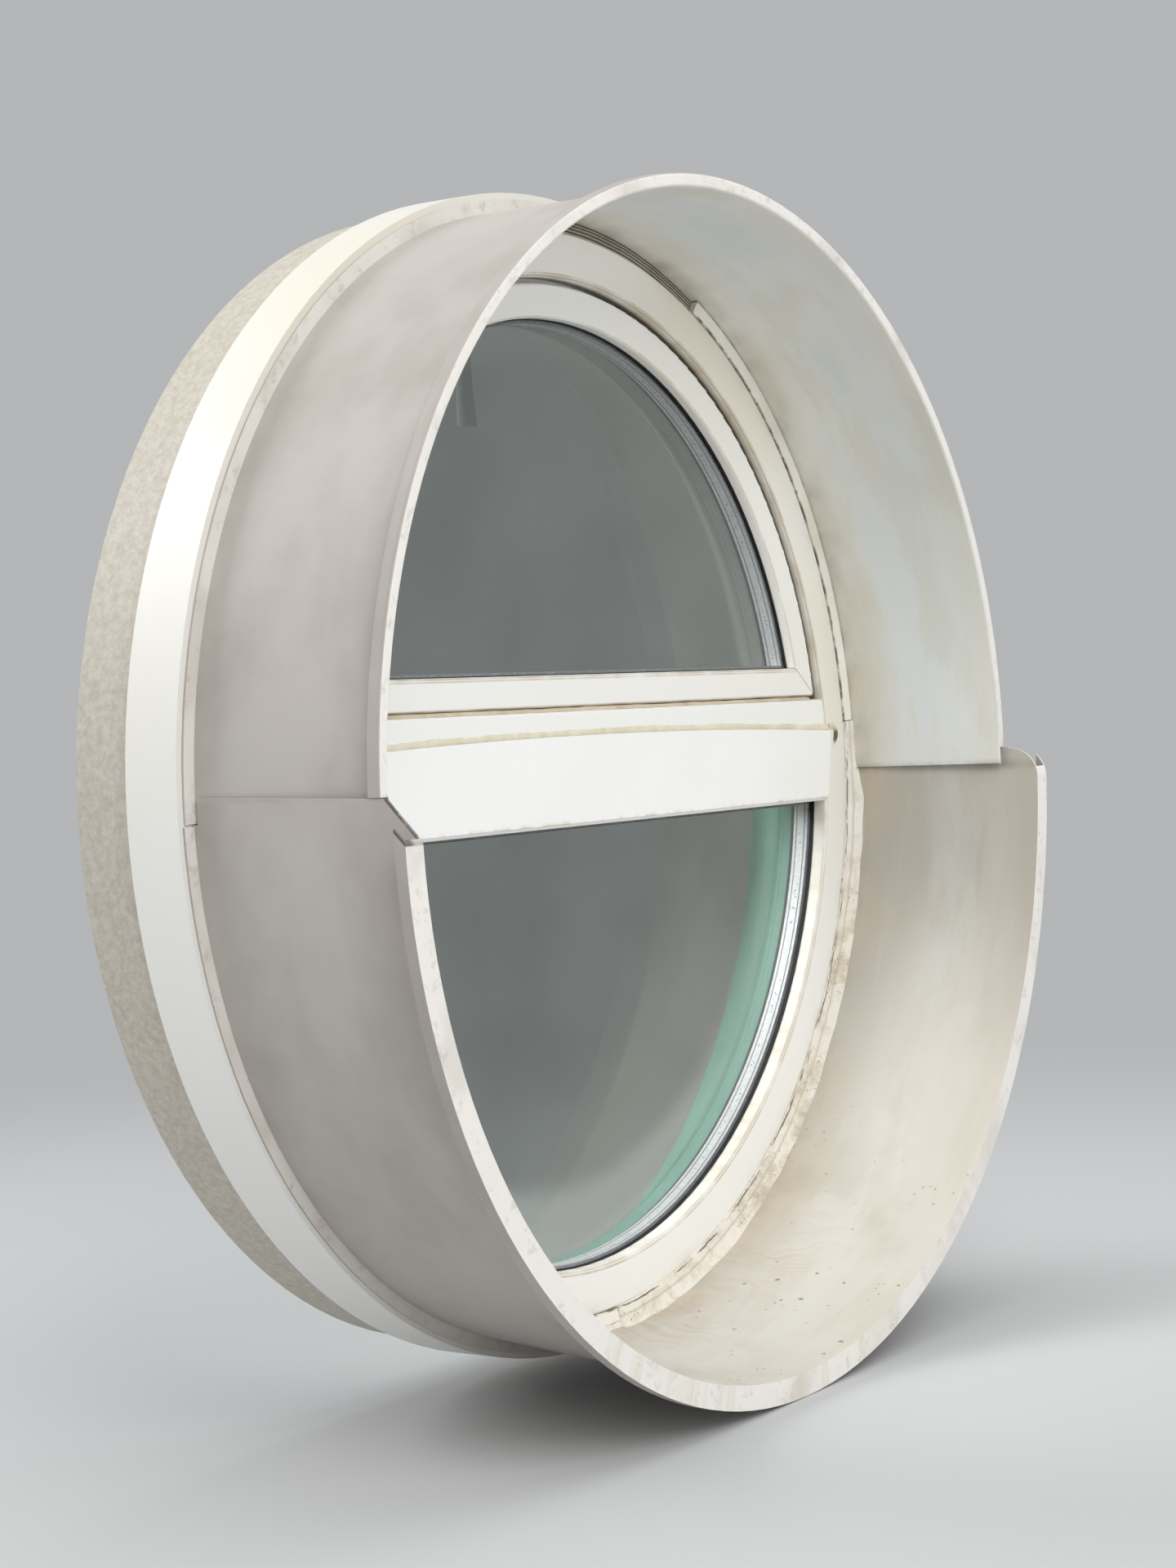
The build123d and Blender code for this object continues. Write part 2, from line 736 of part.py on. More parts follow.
    with BuildPart() as lock_faceplate:
        with Locations((pocket["centre"][0], pocket["centre"][1], faceplate_bottom + faceplate / 2)):
            Box(size[0], size[1], faceplate)
        with Locations((crank_x, (layers["bolt_out"] + layers["bolt_in"]) / 2, faceplate_bottom)):
            slot = (bolt_width + 2 * lock_clearance, bolt_thickness + 2 * lock_clearance, 4 * faceplate)
            Box(*slot, mode=Mode.SUBTRACT)
    save(lock_faceplate, "lock_faceplate")

    keep_bottom = ring_body_radius - keep_height
    keep_y = (layers["bolt_out"] + layers["bolt_in"]) / 2
    with BuildPart() as lock_keep:
        with BuildSketch(drawn_at(keep_y + keep_width / 2)):
            with BuildLine():
                half = keep_length / 2
                rise = sqrt(ring_body_radius**2 - half**2)
                ramp_top = keep_bottom + keep_ramp_rise
                Line((-half, ramp_top), (-half, rise))
                ThreePointArc((-half, rise), (0, ring_body_radius), (half, rise))
                Line((half, rise), (half, ramp_top))
                Line((half, ramp_top), (half - keep_ramp, keep_bottom))
                Line((half - keep_ramp, keep_bottom), (-half + keep_ramp, keep_bottom))
                Line((-half + keep_ramp, keep_bottom), (-half, ramp_top))
            make_face()
        extrude(amount=keep_width)
        with Locations((crank_x, keep_y, ring_body_radius)):
            Box(
                bolt_width + 2 * lock_clearance,
                bolt_thickness + 2 * lock_clearance,
                4 * keep_height,
                mode=Mode.SUBTRACT,
            )
    save(lock_keep, "lock_keep")


def make_sash_seals():
    """Seals that the closed sash meets: one on the frame's lip and one on its own flange."""
    with BuildPart() as frame_gasket:
        with BuildSketch(drawn_at(sash_body_y - seal_clearance)):
            outer = (ring_lip_radius + seal_width + 2.0, transom_lip_top - seal_width - 2.0)
            inner = (ring_lip_radius + 2.0, transom_lip_top - 2.0)
            half_disc_loop(outer, inner, 1)
        extrude(amount=sash_body_y - seal_clearance - lip_back_y)
    save(frame_gasket, "frame_gasket")
    with BuildPart() as sash_gasket:
        with BuildSketch(drawn_at(flange_y)):
            outer = (flange_radius - 1.5, flange_bottom + 1.5)
            inner = (flange_radius - 1.5 - seal_width, flange_bottom + 1.5 + seal_width)
            half_disc_loop(outer, inner, 1)
        extrude(amount=flange_stand - seal_clearance)
    save(sash_gasket, "sash_gasket")


def hinge_centre():
    """Pin line of the bottom hinges as (y, z)."""
    return room_y + hinge_axis_depth, flange_bottom - hinge_axis_drop


def make_hinges():
    """Two surface-mounted pin hinges under the sash's bottom rail."""
    axis_y, axis_z = hinge_centre()
    half_middle = middle_knuckle / 2
    end_start = half_middle + knuckle_gap
    end_stop = end_start + end_knuckle
    with BuildPart() as hinge_frame_leaves:
        for side in (-1, 1):
            for start in (-end_stop, end_start):
                with BuildSketch(Plane.YZ.offset(side * hinge_span + start)):
                    with Locations((axis_y, axis_z)):
                        Circle(knuckle_radius)
                    web_height = knuckle_radius * 0.9
                    with Locations(((room_y + axis_y) / 2, axis_z - knuckle_radius + web_height / 2)):
                        Rectangle(axis_y - room_y, web_height)
                extrude(amount=end_knuckle)
            with Locations((side * hinge_span, room_y + leaf / 2, axis_z - frame_leaf_height / 2)):
                Box(2 * end_stop, leaf, frame_leaf_height)
            with BuildSketch(Plane.YZ.offset(side * hinge_span - end_stop)):
                with Locations((axis_y, axis_z)):
                    Circle(hinge_pin_radius)
            extrude(amount=2 * end_stop, mode=Mode.SUBTRACT)
    save(hinge_frame_leaves, "hinge_frame_leaves")

    with BuildPart() as hinge_sash_leaves:
        for side in (-1, 1):
            with BuildSketch(Plane.YZ.offset(side * hinge_span - half_middle)):
                with Locations((axis_y, axis_z)):
                    Circle(knuckle_radius)
                web_start = sash_room_y
                with Locations((web_start + leaf / 2, axis_z + sash_leaf_height / 2)):
                    Rectangle(leaf, sash_leaf_height)
            extrude(amount=middle_knuckle)
            with Locations((side * hinge_span, sash_room_y + leaf / 2, axis_z + sash_leaf_height / 2 + knuckle_radius)):
                Box(2 * end_stop, leaf, sash_leaf_height - 2 * knuckle_radius)
            with BuildSketch(Plane.YZ.offset(side * hinge_span - end_stop)):
                with Locations((axis_y, axis_z)):
                    Circle(hinge_pin_radius + pin_clearance)
            extrude(amount=2 * end_stop, mode=Mode.SUBTRACT)
    save(hinge_sash_leaves, "hinge_sash_leaves")

    with BuildPart() as hinge_pins:
        for side in (-1, 1):
            start = side * hinge_span - end_stop
            with BuildSketch(Plane.YZ.offset(start)):
                with Locations((axis_y, axis_z)):
                    Circle(hinge_pin_radius)
            extrude(amount=2 * end_stop)
            for face, direction in ((start, -1), (start + 2 * end_stop, 1)):
                with BuildSketch(Plane.YZ.offset(face)):
                    with Locations((axis_y, axis_z)):
                        Circle(knuckle_radius - 1.5)
                extrude(amount=direction * pin_head)
    save(hinge_pins, "hinge_pins")


def make_stays():
    """Slotted stay arms: each turns on the sash and slides on a stud on the ring."""
    axis_y, axis_z = hinge_centre()
    pivot = (room_y + stay_depth, axis_z + stay_pivot_height)
    stud = (pivot[0], pivot[1] - stay_reach)
    arm_x = stay_x + stay_ear / 2 + stay_gap

    def bracket(side, base_y, centre_z, base_start, base_end):
        """Angle bracket: a base along X on its seat and an ear that carries the pin."""
        ear_rise = pivot[0] + 1.6 * stay_pin_radius
        with BuildSketch(Plane.YZ.offset(side * stay_x - stay_ear / 2)) as ear:
            with Locations(((base_y + ear_rise) / 2, centre_z)):
                Rectangle(ear_rise - base_y, bracket_size)
        extrude(ear.sketch, amount=stay_ear)
        with Locations((side * (base_start + base_end) / 2, base_y + stay_ear / 2, centre_z)):
            Box(base_end - base_start, stay_ear, bracket_size)

    def pin_at(side, centre):
        """Pin from the ear through the arm, with a head outside it."""
        with BuildSketch(Plane.YZ.offset(side * (stay_x + stay_ear / 2))) as shank:
            with Locations(centre):
                Circle(stay_pin_radius)
        extrude(shank.sketch, amount=side * (stay_arm_thickness + 2 * stay_gap))
        with BuildSketch(Plane.YZ.offset(side * (arm_x + stay_arm_thickness + stay_gap))) as head:
            with Locations(centre):
                Circle(2 * stay_pin_radius)
        extrude(head.sketch, amount=side * stay_pin_head)

    with BuildPart() as stay_sash_brackets:
        for side in (-1, 1):
            bracket(side, sash_room_y, pivot[1], stay_x - sash_bracket_reach, stay_x)
            pin_at(side, pivot)
    save(stay_sash_brackets, "stay_sash_brackets")

    with BuildPart() as stay_frame_brackets:
        for side in (-1, 1):
            bracket(side, room_y, stud[1], stay_x, stay_x + frame_bracket_reach)
            pin_at(side, stud)
    save(stay_frame_brackets, "stay_frame_brackets")

    slot_half = stay_pin_radius + stay_slot_play
    slot_bottom = stud[1] - stay_travel
    arm_bottom = slot_bottom - stay_arm_width / 2
    arm_top = pivot[1] + stay_arm_width / 2
    for name, side in (("stay_arm_left", -1), ("stay_arm_right", 1)):
        with BuildPart() as stay_arm:
            with BuildSketch(Plane.YZ.offset(side * arm_x)):
                with Locations((pivot[0], (arm_bottom + arm_top) / 2)):
                    SlotOverall(arm_top - arm_bottom, stay_arm_width, rotation=90)
                with Locations(pivot):
                    Circle(stay_pin_radius + pin_clearance, mode=Mode.SUBTRACT)
                with Locations((pivot[0] + stay_slot_offset, (slot_bottom + stud[1]) / 2)):
                    SlotOverall(stay_travel + 2 * slot_half, 2 * slot_half, rotation=90, mode=Mode.SUBTRACT)
            extrude(amount=side * stay_arm_thickness)
        save(stay_arm, name)


def make_inner_lining():
    """Reveal lining ring on the room side of the frame."""
    inner = reveal_radius + lining_gap
    with BuildPart() as inner_lining:
        with BuildSketch(Plane.XY):
            with Locations((inner + lining_thickness / 2, room_y + lining_depth / 2)):
                Rectangle(lining_thickness, lining_depth)
        revolve(axis=turn_axis)
        edge = inner_lining.edges().group_by(Axis.Y)[-1].sort_by(SortBy.LENGTH)[0]
        fillet(edge, radius=2.0)
    save(inner_lining, "inner_lining")


make_liner_upper()
make_liner_lower()
make_joint_pieces()
make_frame_ring()
make_transom()

lower_edge = (ring_lip_radius + glass_bite, transom_lip_bottom + glass_bite)
make_glass_unit("lower", lower_edge, -1)
make_glazing(
    "lower",
    sight=(ring_lip_radius, transom_lip_bottom),
    side=-1,
    bead_top=room_y - bead_y,
    rebate=(ring_body_radius, transom_bottom),
    bead_room_y=room_y,
    lip_y=lip_back_y,
)
make_lower_blocks(lower_edge[0])

sash_edge = (sash_lip_radius + glass_bite, rail_face_top - glass_bite)
make_sash_frame()
make_glass_unit("sash", sash_edge, 1)
make_glazing(
    "sash",
    sight=(sash_lip_radius, rail_face_top),
    side=1,
    bead_top=sash_bead_face_y - bead_y,
    rebate=(sash_rebate_radius, rail_rebate_bottom),
    bead_room_y=sash_bead_face_y,
    lip_y=sash_lip_back_y,
)
make_sash_blocks(sash_edge[1])
make_sash_seals()
make_hinges()
make_stays()
make_lock()
make_inner_lining()
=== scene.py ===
import math

import bmesh
import bpy
from mathutils import Matrix, Vector, noise


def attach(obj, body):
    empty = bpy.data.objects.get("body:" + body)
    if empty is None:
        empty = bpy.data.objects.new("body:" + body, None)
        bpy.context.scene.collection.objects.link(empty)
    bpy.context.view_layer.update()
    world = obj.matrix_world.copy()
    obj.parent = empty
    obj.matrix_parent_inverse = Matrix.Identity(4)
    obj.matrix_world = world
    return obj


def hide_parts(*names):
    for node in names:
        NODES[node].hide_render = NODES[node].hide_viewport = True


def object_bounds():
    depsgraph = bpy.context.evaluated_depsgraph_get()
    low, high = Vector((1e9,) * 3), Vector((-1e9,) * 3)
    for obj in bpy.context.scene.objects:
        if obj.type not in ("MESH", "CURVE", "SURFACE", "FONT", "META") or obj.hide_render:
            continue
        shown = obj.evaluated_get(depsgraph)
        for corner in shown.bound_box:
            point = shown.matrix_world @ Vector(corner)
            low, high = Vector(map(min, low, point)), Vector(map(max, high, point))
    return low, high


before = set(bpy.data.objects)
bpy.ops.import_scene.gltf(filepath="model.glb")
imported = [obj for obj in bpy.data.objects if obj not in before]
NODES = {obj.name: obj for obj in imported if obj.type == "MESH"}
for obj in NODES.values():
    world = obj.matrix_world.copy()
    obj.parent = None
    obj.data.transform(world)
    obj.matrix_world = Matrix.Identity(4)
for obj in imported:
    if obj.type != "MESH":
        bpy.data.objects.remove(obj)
cad_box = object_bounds()

MM = 0.001

# The viewpoint of the photograph, in the window's own frame: metres, and millimetres for lens and sensor
CAMERA_PLACE = Vector((-2.1406, -1.4898, 0.0623))
CAMERA_TARGET = Vector((-0.03, -0.06, -0.008))
CAMERA_ROLL = math.radians(-2.51)
CAMERA_LENS = 66.0
CAMERA_SENSOR = 36.0

# Joint between ring and reveal: radii and outward depths in mm, angles in degrees above +X
RING_EDGE = 486.9
RING_FACE = 35.0
JOINT_MIDDLE = 490.0
JOINT_FLOOR = 31.2

# Where the search for the reveal's sheet starts, and how far sealant sinks into the sheet, in mm
PROBE_RADIUS = 470.0
PROBE_DEPTH = 46.0
SHEET_SINK = 0.3

# The joint's sealant: from the lower strip's end to the seam, widest low on the right, flat at the seam
SEALANT_SPAN = (271.9, 363.9)
SEALANT_STEPS = 380
SEALANT_WIDEST = 292.0
SEALANT_SWELL = 30.0
SEALANT_FLAT_START = 354.5
SEALANT_FLAT_RUN = 5.0

# Sealant between the lower cover strip and the reveal, up to the strip's end: degrees and mm
STRIP_SPAN = (256.0, 272.4)
STRIP_STEPS = 60
STRIP_EDGE = 499.8
STRIP_LAP = 1.2
STRIP_MIDDLE = 500.0
STRIP_FLOOR = 33.0

# Caulk over the cover plate, in mm: its arc's half width, crown and rise, its size and its hooked end
CAULK_REACH = 452.8
CAULK_CROWN = 34.9
CAULK_RISE = 9.9
CAULK_STEPS = 150
CAULK_HALF_WIDTH = 3.1
CAULK_HEIGHT = 2.1
CAULK_LAP = 0.4
CAULK_HOOK = (
    (452.0, 27.8, 3.0),
    (457.0, 29.6, 2.9),
    (462.5, 29.4, 2.8),
    (466.5, 25.5, 2.9),
    (466.8, 19.5, 3.4),
    (464.0, 14.0, 2.6),
    (461.0, 9.0, 1.2),
)

# Dirt and painted shade on the transom's lip, in the gap under the sash, in mm
LIP_SPAN = (-432.0, 420.0)
LIP_STEPS = 120
LIP_DEPTH = 29.5
LIP_TOP = 57.5
LIP_HALF_WIDTH = 4.4
LIP_DIRT_AND_SHADE_HEIGHT = 3.0

# Round beads are drawn with this many facets and sink this far into their seat, in mm
BEAD_FACETS = 8
BEAD_SINK = 0.3

# Screw heads, mirrored left and right: node, x, z and head radius in mm
FRAME_SCREWS = (
    ("hinge_frame_leaves", 264.0, 0.0, 4.2),
    ("hinge_frame_leaves", 296.0, 0.0, 4.2),
    ("stay_frame_brackets", 477.7, 100.0, 2.6),
)
SASH_SCREWS = (
    ("hinge_sash_leaves", 264.0, 56.0, 4.2),
    ("hinge_sash_leaves", 296.0, 56.0, 4.2),
    ("stay_sash_brackets", 462.0, 146.0, 3.2),
)

# A head's facets and lobes, and how far into the room the search for its seat starts, in metres
SCREW_STEPS = 36
SCREW_LOBES = 6
SCREW_PROBE = 0.2

# A screw head's outline: radius, rise and depth of the lobes, as shares of the head's radius
SCREW_PROFILE = (
    (1.0, -0.05, 0.0),
    (1.0, 0.14, 0.0),
    (0.86, 0.32, 0.0),
    (0.62, 0.42, 0.0),
    (0.37, 0.45, 0.14),
    (0.33, 0.06, 0.14),
)

# Places that dirt, marks and painted shade follow, in metres: radii, depths (outdoors is negative) and
# heights
RING_FACE_EDGE = 0.4864
RING_LIP_EDGE = 0.4476
RING_LIP_CORNER = 0.4457
RING_LIP_LINE = 0.4451
RING_FACE_DEPTH = -0.0200
SASH_MITRE_INNER = (0.39897, 0.090)
SASH_MITRE_OUTER = (0.43575, 0.061)
SASH_ARCH_OUTER = 0.4394
SASH_ARCH_INNER = 0.4102
SASH_RAIL_LINES = (0.0888, 0.0865)
SASH_FOOT = 0.0614
PLATE_FOOT = (-0.0395, -0.0432)
SPACER_DEPTH = -0.005
SPACER_GROOVE = 0.0045
TAPE_LAYERS = (0.4893, 0.4926, 0.4956, 0.4983)
STRIP_INNER_LINE = 0.4874
STRIP_OUTER_LINE = 0.4995
SEALANT_CRACK = 0.4874
SEALANT_FOLD = 0.4945
MOULD_PLACE = (0.4655, 0.0185)
SEAM_HEIGHT = -0.0165

# The lower reveal's left corner is cut off along height = depth + this, in metres
CORNER_CUT = 0.211

# Tint of the inner panes, painted shade that stands in for a dark room, and the radii over which that
# painted shade may clear
ROOM_TINT = (0.27, 0.29, 0.275)
CLEAR_EDGE = (0.362, 0.394)

# Levels and colours of light, and the floor's colour and its sizes in metres
BACKGROUND = (0.455, 0.465, 0.475, 1.0)
SKY_TINT = (0.97, 0.99, 1.0, 1.0)
WORLD_LEVEL = 0.54
FLOOR_COLOUR = (0.55, 0.5555, 0.561, 1.0)
FLOOR_FACETS = 96
FLOOR_RADIUS = 40.0
FLOOR_BLEND = (0.9, 2.7)
FLOOR_GAP = 0.0005


def tone(red, green, blue):
    """Linear colour of an 8-bit screen colour."""
    def linear(value):
        value /= 255.0
        return value / 12.92 if value <= 0.04045 else ((value + 0.055) / 1.055) ** 2.4
    return (linear(red), linear(green), linear(blue), 1.0)


class Surface:
    """One material's node tree, whose calls add nodes; coordinates are in metres."""

    def __init__(self, name):
        self.material = bpy.data.materials.new(name)
        self.material.use_nodes = True
        self.tree = self.material.node_tree
        self.shader = self.tree.nodes["Principled BSDF"]
        coordinates = self.tree.nodes.new("ShaderNodeTexCoord")
        self.place = coordinates.outputs["Object"]
        self.normal = coordinates.outputs["Normal"]
        self.x, self.depth, self.height = self.split(self.place)

    def put(self, socket, value):
        """Links a socket to another node's output, or sets it to a number or colour."""
        if isinstance(value, bpy.types.NodeSocket):
            self.tree.links.new(value, socket)
        else:
            socket.default_value = value

    def split(self, vector):
        """The three outputs of a vector's parts."""
        made = self.tree.nodes.new("ShaderNodeSeparateXYZ")
        self.put(made.inputs[0], vector)
        return made.outputs

    def join(self, x, y, z):
        """A vector from its parts."""
        made = self.tree.nodes.new("ShaderNodeCombineXYZ")
        for socket, value in zip(made.inputs, (x, y, z)):
            self.put(socket, value)
        return made.outputs[0]

    def math(self, operation, *values):
        """One arithmetic step on values."""
        made = self.tree.nodes.new("ShaderNodeMath")
        made.operation = operation
        for socket, value in zip(made.inputs, values):
            self.put(socket, value)
        return made.outputs[0]

    def plus(self, first, second):
        return self.math("ADD", first, second)

    def minus(self, first, second):
        return self.math("SUBTRACT", first, second)

    def scaled(self, value, factor):
        return self.math("MULTIPLY", value, factor)

    def either(self, *masks):
        """The strongest of several masks."""
        total = masks[0]
        for mask in masks[1:]:
            total = self.math("MAXIMUM", total, mask)
        return total

    def both(self, *masks):
        """The product of several masks, full only where all are."""
        total = masks[0]
        for mask in masks[1:]:
            total = self.math("MULTIPLY", total, mask)
        return total

    def ramp(self, value, start, end, low=0.0, high=1.0):
        """Smooth step of a value, from low at start to high at end."""
        made = self.tree.nodes.new("ShaderNodeMapRange")
        made.interpolation_type = "SMOOTHSTEP"
        self.put(made.inputs["Value"], value)
        sockets = [socket for socket in made.inputs if socket.enabled and socket.name != "Value"]
        for socket, number in zip(sockets, (start, end, low, high)):
            self.put(socket, number)
        return made.outputs["Result"]

    def band(self, value, centre, half, soft):
        """1 within half of centre, falling to 0 over soft."""
        away = self.math("ABSOLUTE", self.minus(value, centre))
        return self.ramp(away, half, half + soft, 1.0, 0.0)

    def noise(self, scale, detail=3.0, roughness=0.55, vector=None):
        """Soft random value about 0.5, with scale waves to a metre."""
        made = self.tree.nodes.new("ShaderNodeTexNoise")
        self.put(made.inputs["Vector"], vector or self.place)
        made.inputs["Scale"].default_value = scale
        made.inputs["Detail"].default_value = detail
        made.inputs["Roughness"].default_value = roughness
        return made.outputs[0]

    def patches(self, scale, start, end, detail=3.0, roughness=0.55):
        """Mask in irregular patches, from a noise."""
        return self.ramp(self.noise(scale, detail, roughness), start, end)

    def wobble(self, scale, reach):
        """Irregular shift about zero, over a whole width of reach."""
        return self.scaled(self.minus(self.noise(scale), 0.5), reach)

    def cells(self, scale, vector=None):
        """Distance to the nearest of scattered points."""
        made = self.tree.nodes.new("ShaderNodeTexVoronoi")
        self.put(made.inputs["Vector"], vector or self.place)
        made.inputs["Scale"].default_value = scale
        return made.outputs["Distance"]

    def torn_specks(self, scale, grain, start, end):
        """Small specks with torn edges."""
        torn = self.plus(self.cells(scale), self.scaled(self.noise(grain, detail=2.0), 0.5))
        return self.ramp(torn, start, end, 1.0, 0.0)

    def mix(self, factor, first, second):
        """The first colour at factor 0, the second at 1."""
        made = self.tree.nodes.new("ShaderNodeMix")
        made.data_type = "RGBA"
        self.put(made.inputs[0], factor)
        self.put(made.inputs[6], first)
        self.put(made.inputs[7], second)
        return made.outputs[2]

    def stained(self, colour, mask, strength, stain):
        """A colour with a stain laid over it where the mask is."""
        return self.mix(self.scaled(mask, strength), colour, stain)

    def clouded(self, value, start, end, colour, shade):
        """Drifts from a colour to its shade as the value goes from start to end."""
        return self.mix(self.ramp(value, start, end), colour, shade)

    def length(self, across, up):
        """Length of a line with these two parts."""
        return self.math("SQRT", self.plus(self.scaled(across, across), self.scaled(up, up)))

    def radius(self):
        """Distance from the window's axis."""
        return self.length(self.x, self.height)

    def angle(self):
        """Angle round the window's axis, in radians above +X."""
        return self.math("ARCTAN2", self.height, self.x)

    def facing_out(self):
        """1 where the surface looks away from the window's axis, -1 where it looks towards it."""
        normal_x, _, normal_z = self.split(self.normal)
        along = self.plus(self.scaled(normal_x, self.x), self.scaled(normal_z, self.height))
        return self.math("DIVIDE", along, self.radius())

    def bump(self, height, strength, distance):
        """Roughens the shader's surface by a height."""
        made = self.tree.nodes.new("ShaderNodeBump")
        made.inputs["Strength"].default_value = strength
        made.inputs["Distance"].default_value = distance
        self.put(made.inputs["Height"], height)
        self.tree.links.new(made.outputs[0], self.shader.inputs["Normal"])

    def finish(self, colour, roughness, metallic=0.0, specular=0.5):
        """Sets the shader's main values and returns the finished material."""
        self.put(self.shader.inputs["Base Color"], colour)
        self.put(self.shader.inputs["Roughness"], roughness)
        self.shader.inputs["Metallic"].default_value = metallic
        self.shader.inputs["Specular IOR Level"].default_value = specular
        return self.material


def run_marks(surface, across, along, fine, length, seed):
    """Stains that run along the surface: fine across it, long the way that water goes."""
    vector = surface.join(surface.scaled(across, fine), surface.scaled(along, length), seed)
    return surface.noise(1.0, detail=4.0, roughness=0.6, vector=vector)


def reveal_inside(surface, cloud, base, base_far_painted_light, wash, stain, seed, wash_depth):
    """Inner side of the reveal: painted light that lightens it away from the axis, a band washed clean by
    rain, and marks that run round the tube.
    """
    angle = surface.angle()
    fine = run_marks(surface, surface.depth, angle, 70.0, 2.0, seed)
    broad = run_marks(surface, surface.depth, angle, 24.0, 2.6, seed + 5.0)
    away = surface.math("ABSOLUTE", surface.height)
    # Painted light: lighter away from the axis, at the upper reveal's crown and at the lower reveal's
    # bottom
    colour = surface.clouded(away, 0.12, 0.42, base, base_far_painted_light)
    middle = surface.band(surface.depth, wash_depth, 0.022, 0.058)
    uneven = surface.ramp(surface.plus(broad, surface.scaled(cloud, 0.8)), 0.66, 1.05)
    colour = surface.stained(colour, surface.both(middle, uneven), 0.8, wash)
    colour = surface.mix(surface.ramp(fine, 0.50, 0.72, 0.0, 0.26), colour, wash)
    colour = surface.mix(surface.ramp(broad, 0.52, 0.38, 0.0, 0.24), colour, stain)
    colour = surface.mix(surface.ramp(cloud, 0.54, 0.76, 0.0, 0.26), colour, stain)
    at_lip = surface.ramp(surface.depth, -0.155, -0.195)
    lip_film = surface.both(at_lip, surface.patches(5.0, 0.25, 0.55))
    return surface.stained(colour, lip_film, 0.24, stain)


def reveal_grime(surface, colour):
    """Dust and grime that thicken towards the frame, and a dirty line along the seam."""
    dusty = surface.ramp(surface.depth, -0.105, -0.050)
    film = surface.both(dusty, surface.patches(7.0, 0.30, 0.62))
    colour = surface.stained(colour, film, 0.42, tone(204, 188, 162))
    near_frame = surface.ramp(surface.depth, -0.070, -0.036)
    grime = surface.both(near_frame, surface.patches(30.0, 0.34, 0.70, detail=4.0))
    colour = surface.stained(colour, grime, 0.34, tone(150, 142, 126))
    seam_line = surface.band(surface.height, SEAM_HEIGHT, 0.0008, 0.007)
    seam = surface.both(seam_line, surface.patches(26.0, 0.30, 0.60))
    return surface.stained(colour, seam, 0.40, tone(132, 126, 112))


def reveal_bottom(surface, colour, seed):
    """Specks, dried puddles and brown streaks at the bottom of the tube, where water lies."""
    low_side = surface.ramp(surface.height, -0.28, -0.44, 0.10, 1.0)
    specks = surface.ramp(surface.cells(85.0), 0.08, 0.15, 1.0, 0.0)
    sparse = surface.patches(9.0, 0.50, 0.60)
    colour = surface.stained(colour, surface.both(specks, sparse, low_side), 0.6, tone(112, 104, 92))
    puddle = surface.both(low_side, surface.patches(13.0, 0.50, 0.72, detail=5.0))
    colour = surface.stained(colour, puddle, 0.24, tone(158, 146, 126))
    bottom = surface.ramp(surface.height, -0.36, -0.47)
    sway = surface.plus(surface.angle(), surface.scaled(surface.noise(9.0, detail=2.0), 0.30))
    fan = surface.ramp(run_marks(surface, sway, surface.depth, 60.0, 9.0, seed + 2.0), 0.40, 0.64)
    by_joint = surface.ramp(surface.depth, -0.180, -0.060)
    streaks = surface.both(bottom, by_joint, surface.patches(11.0, 0.36, 0.60), fan)
    colour = surface.stained(colour, streaks, 0.62, tone(186, 168, 138))
    spots = surface.torn_specks(60.0, 150.0, 0.33, 0.40)
    spots = surface.both(spots, bottom, surface.patches(15.0, 0.50, 0.58))
    return surface.stained(colour, spots, 0.7, tone(96, 88, 76))


def reveal_shell(surface, seed):
    """Outer side of the reveal, dull and grey."""
    marks = run_marks(surface, surface.depth, surface.angle(), 6.0, 2.0, seed + 11.0)
    return surface.clouded(marks, 0.35, 0.68, tone(190, 184, 178), tone(172, 165, 158))


def reveal_rim(surface, seed):
    """Front rim of the reveal: bright paint, worn and chipped, with runs at its bottom."""
    worn = surface.ramp(surface.noise(11.0), 0.46, 0.66, 0.0, 0.5)
    chips = surface.ramp(surface.noise(85.0, detail=4.0, roughness=0.7), 0.54, 0.68, 0.0, 0.32)
    rim = surface.mix(worn, tone(236, 232, 226), tone(206, 198, 188))
    rim = surface.mix(chips, rim, tone(170, 162, 152))
    marks = run_marks(surface, surface.angle(), surface.depth, 16.0, 5.0, seed + 17.0)
    low = surface.ramp(surface.height, -0.30, -0.46)
    runs = surface.both(surface.ramp(marks, 0.50, 0.68), low)
    return surface.stained(rim, runs, 0.38, tone(204, 194, 168))


def corner_cut_line(surface, colour):
    """Dark line along the slanted cut of the lower reveal's left corner."""
    above_cut = surface.minus(surface.height, surface.plus(surface.depth, CORNER_CUT))
    cut = surface.both(
        surface.ramp(surface.x, -0.30, -0.40),
        surface.band(above_cut, -0.0008, 0.0012, 0.0016),
        surface.band(surface.height, -0.015, 0.017, 0.002),
        surface.ramp(surface.noise(60.0), 0.30, 0.50, 0.45, 1.0),
    )
    return surface.stained(colour, cut, 0.85, tone(70, 62, 54))


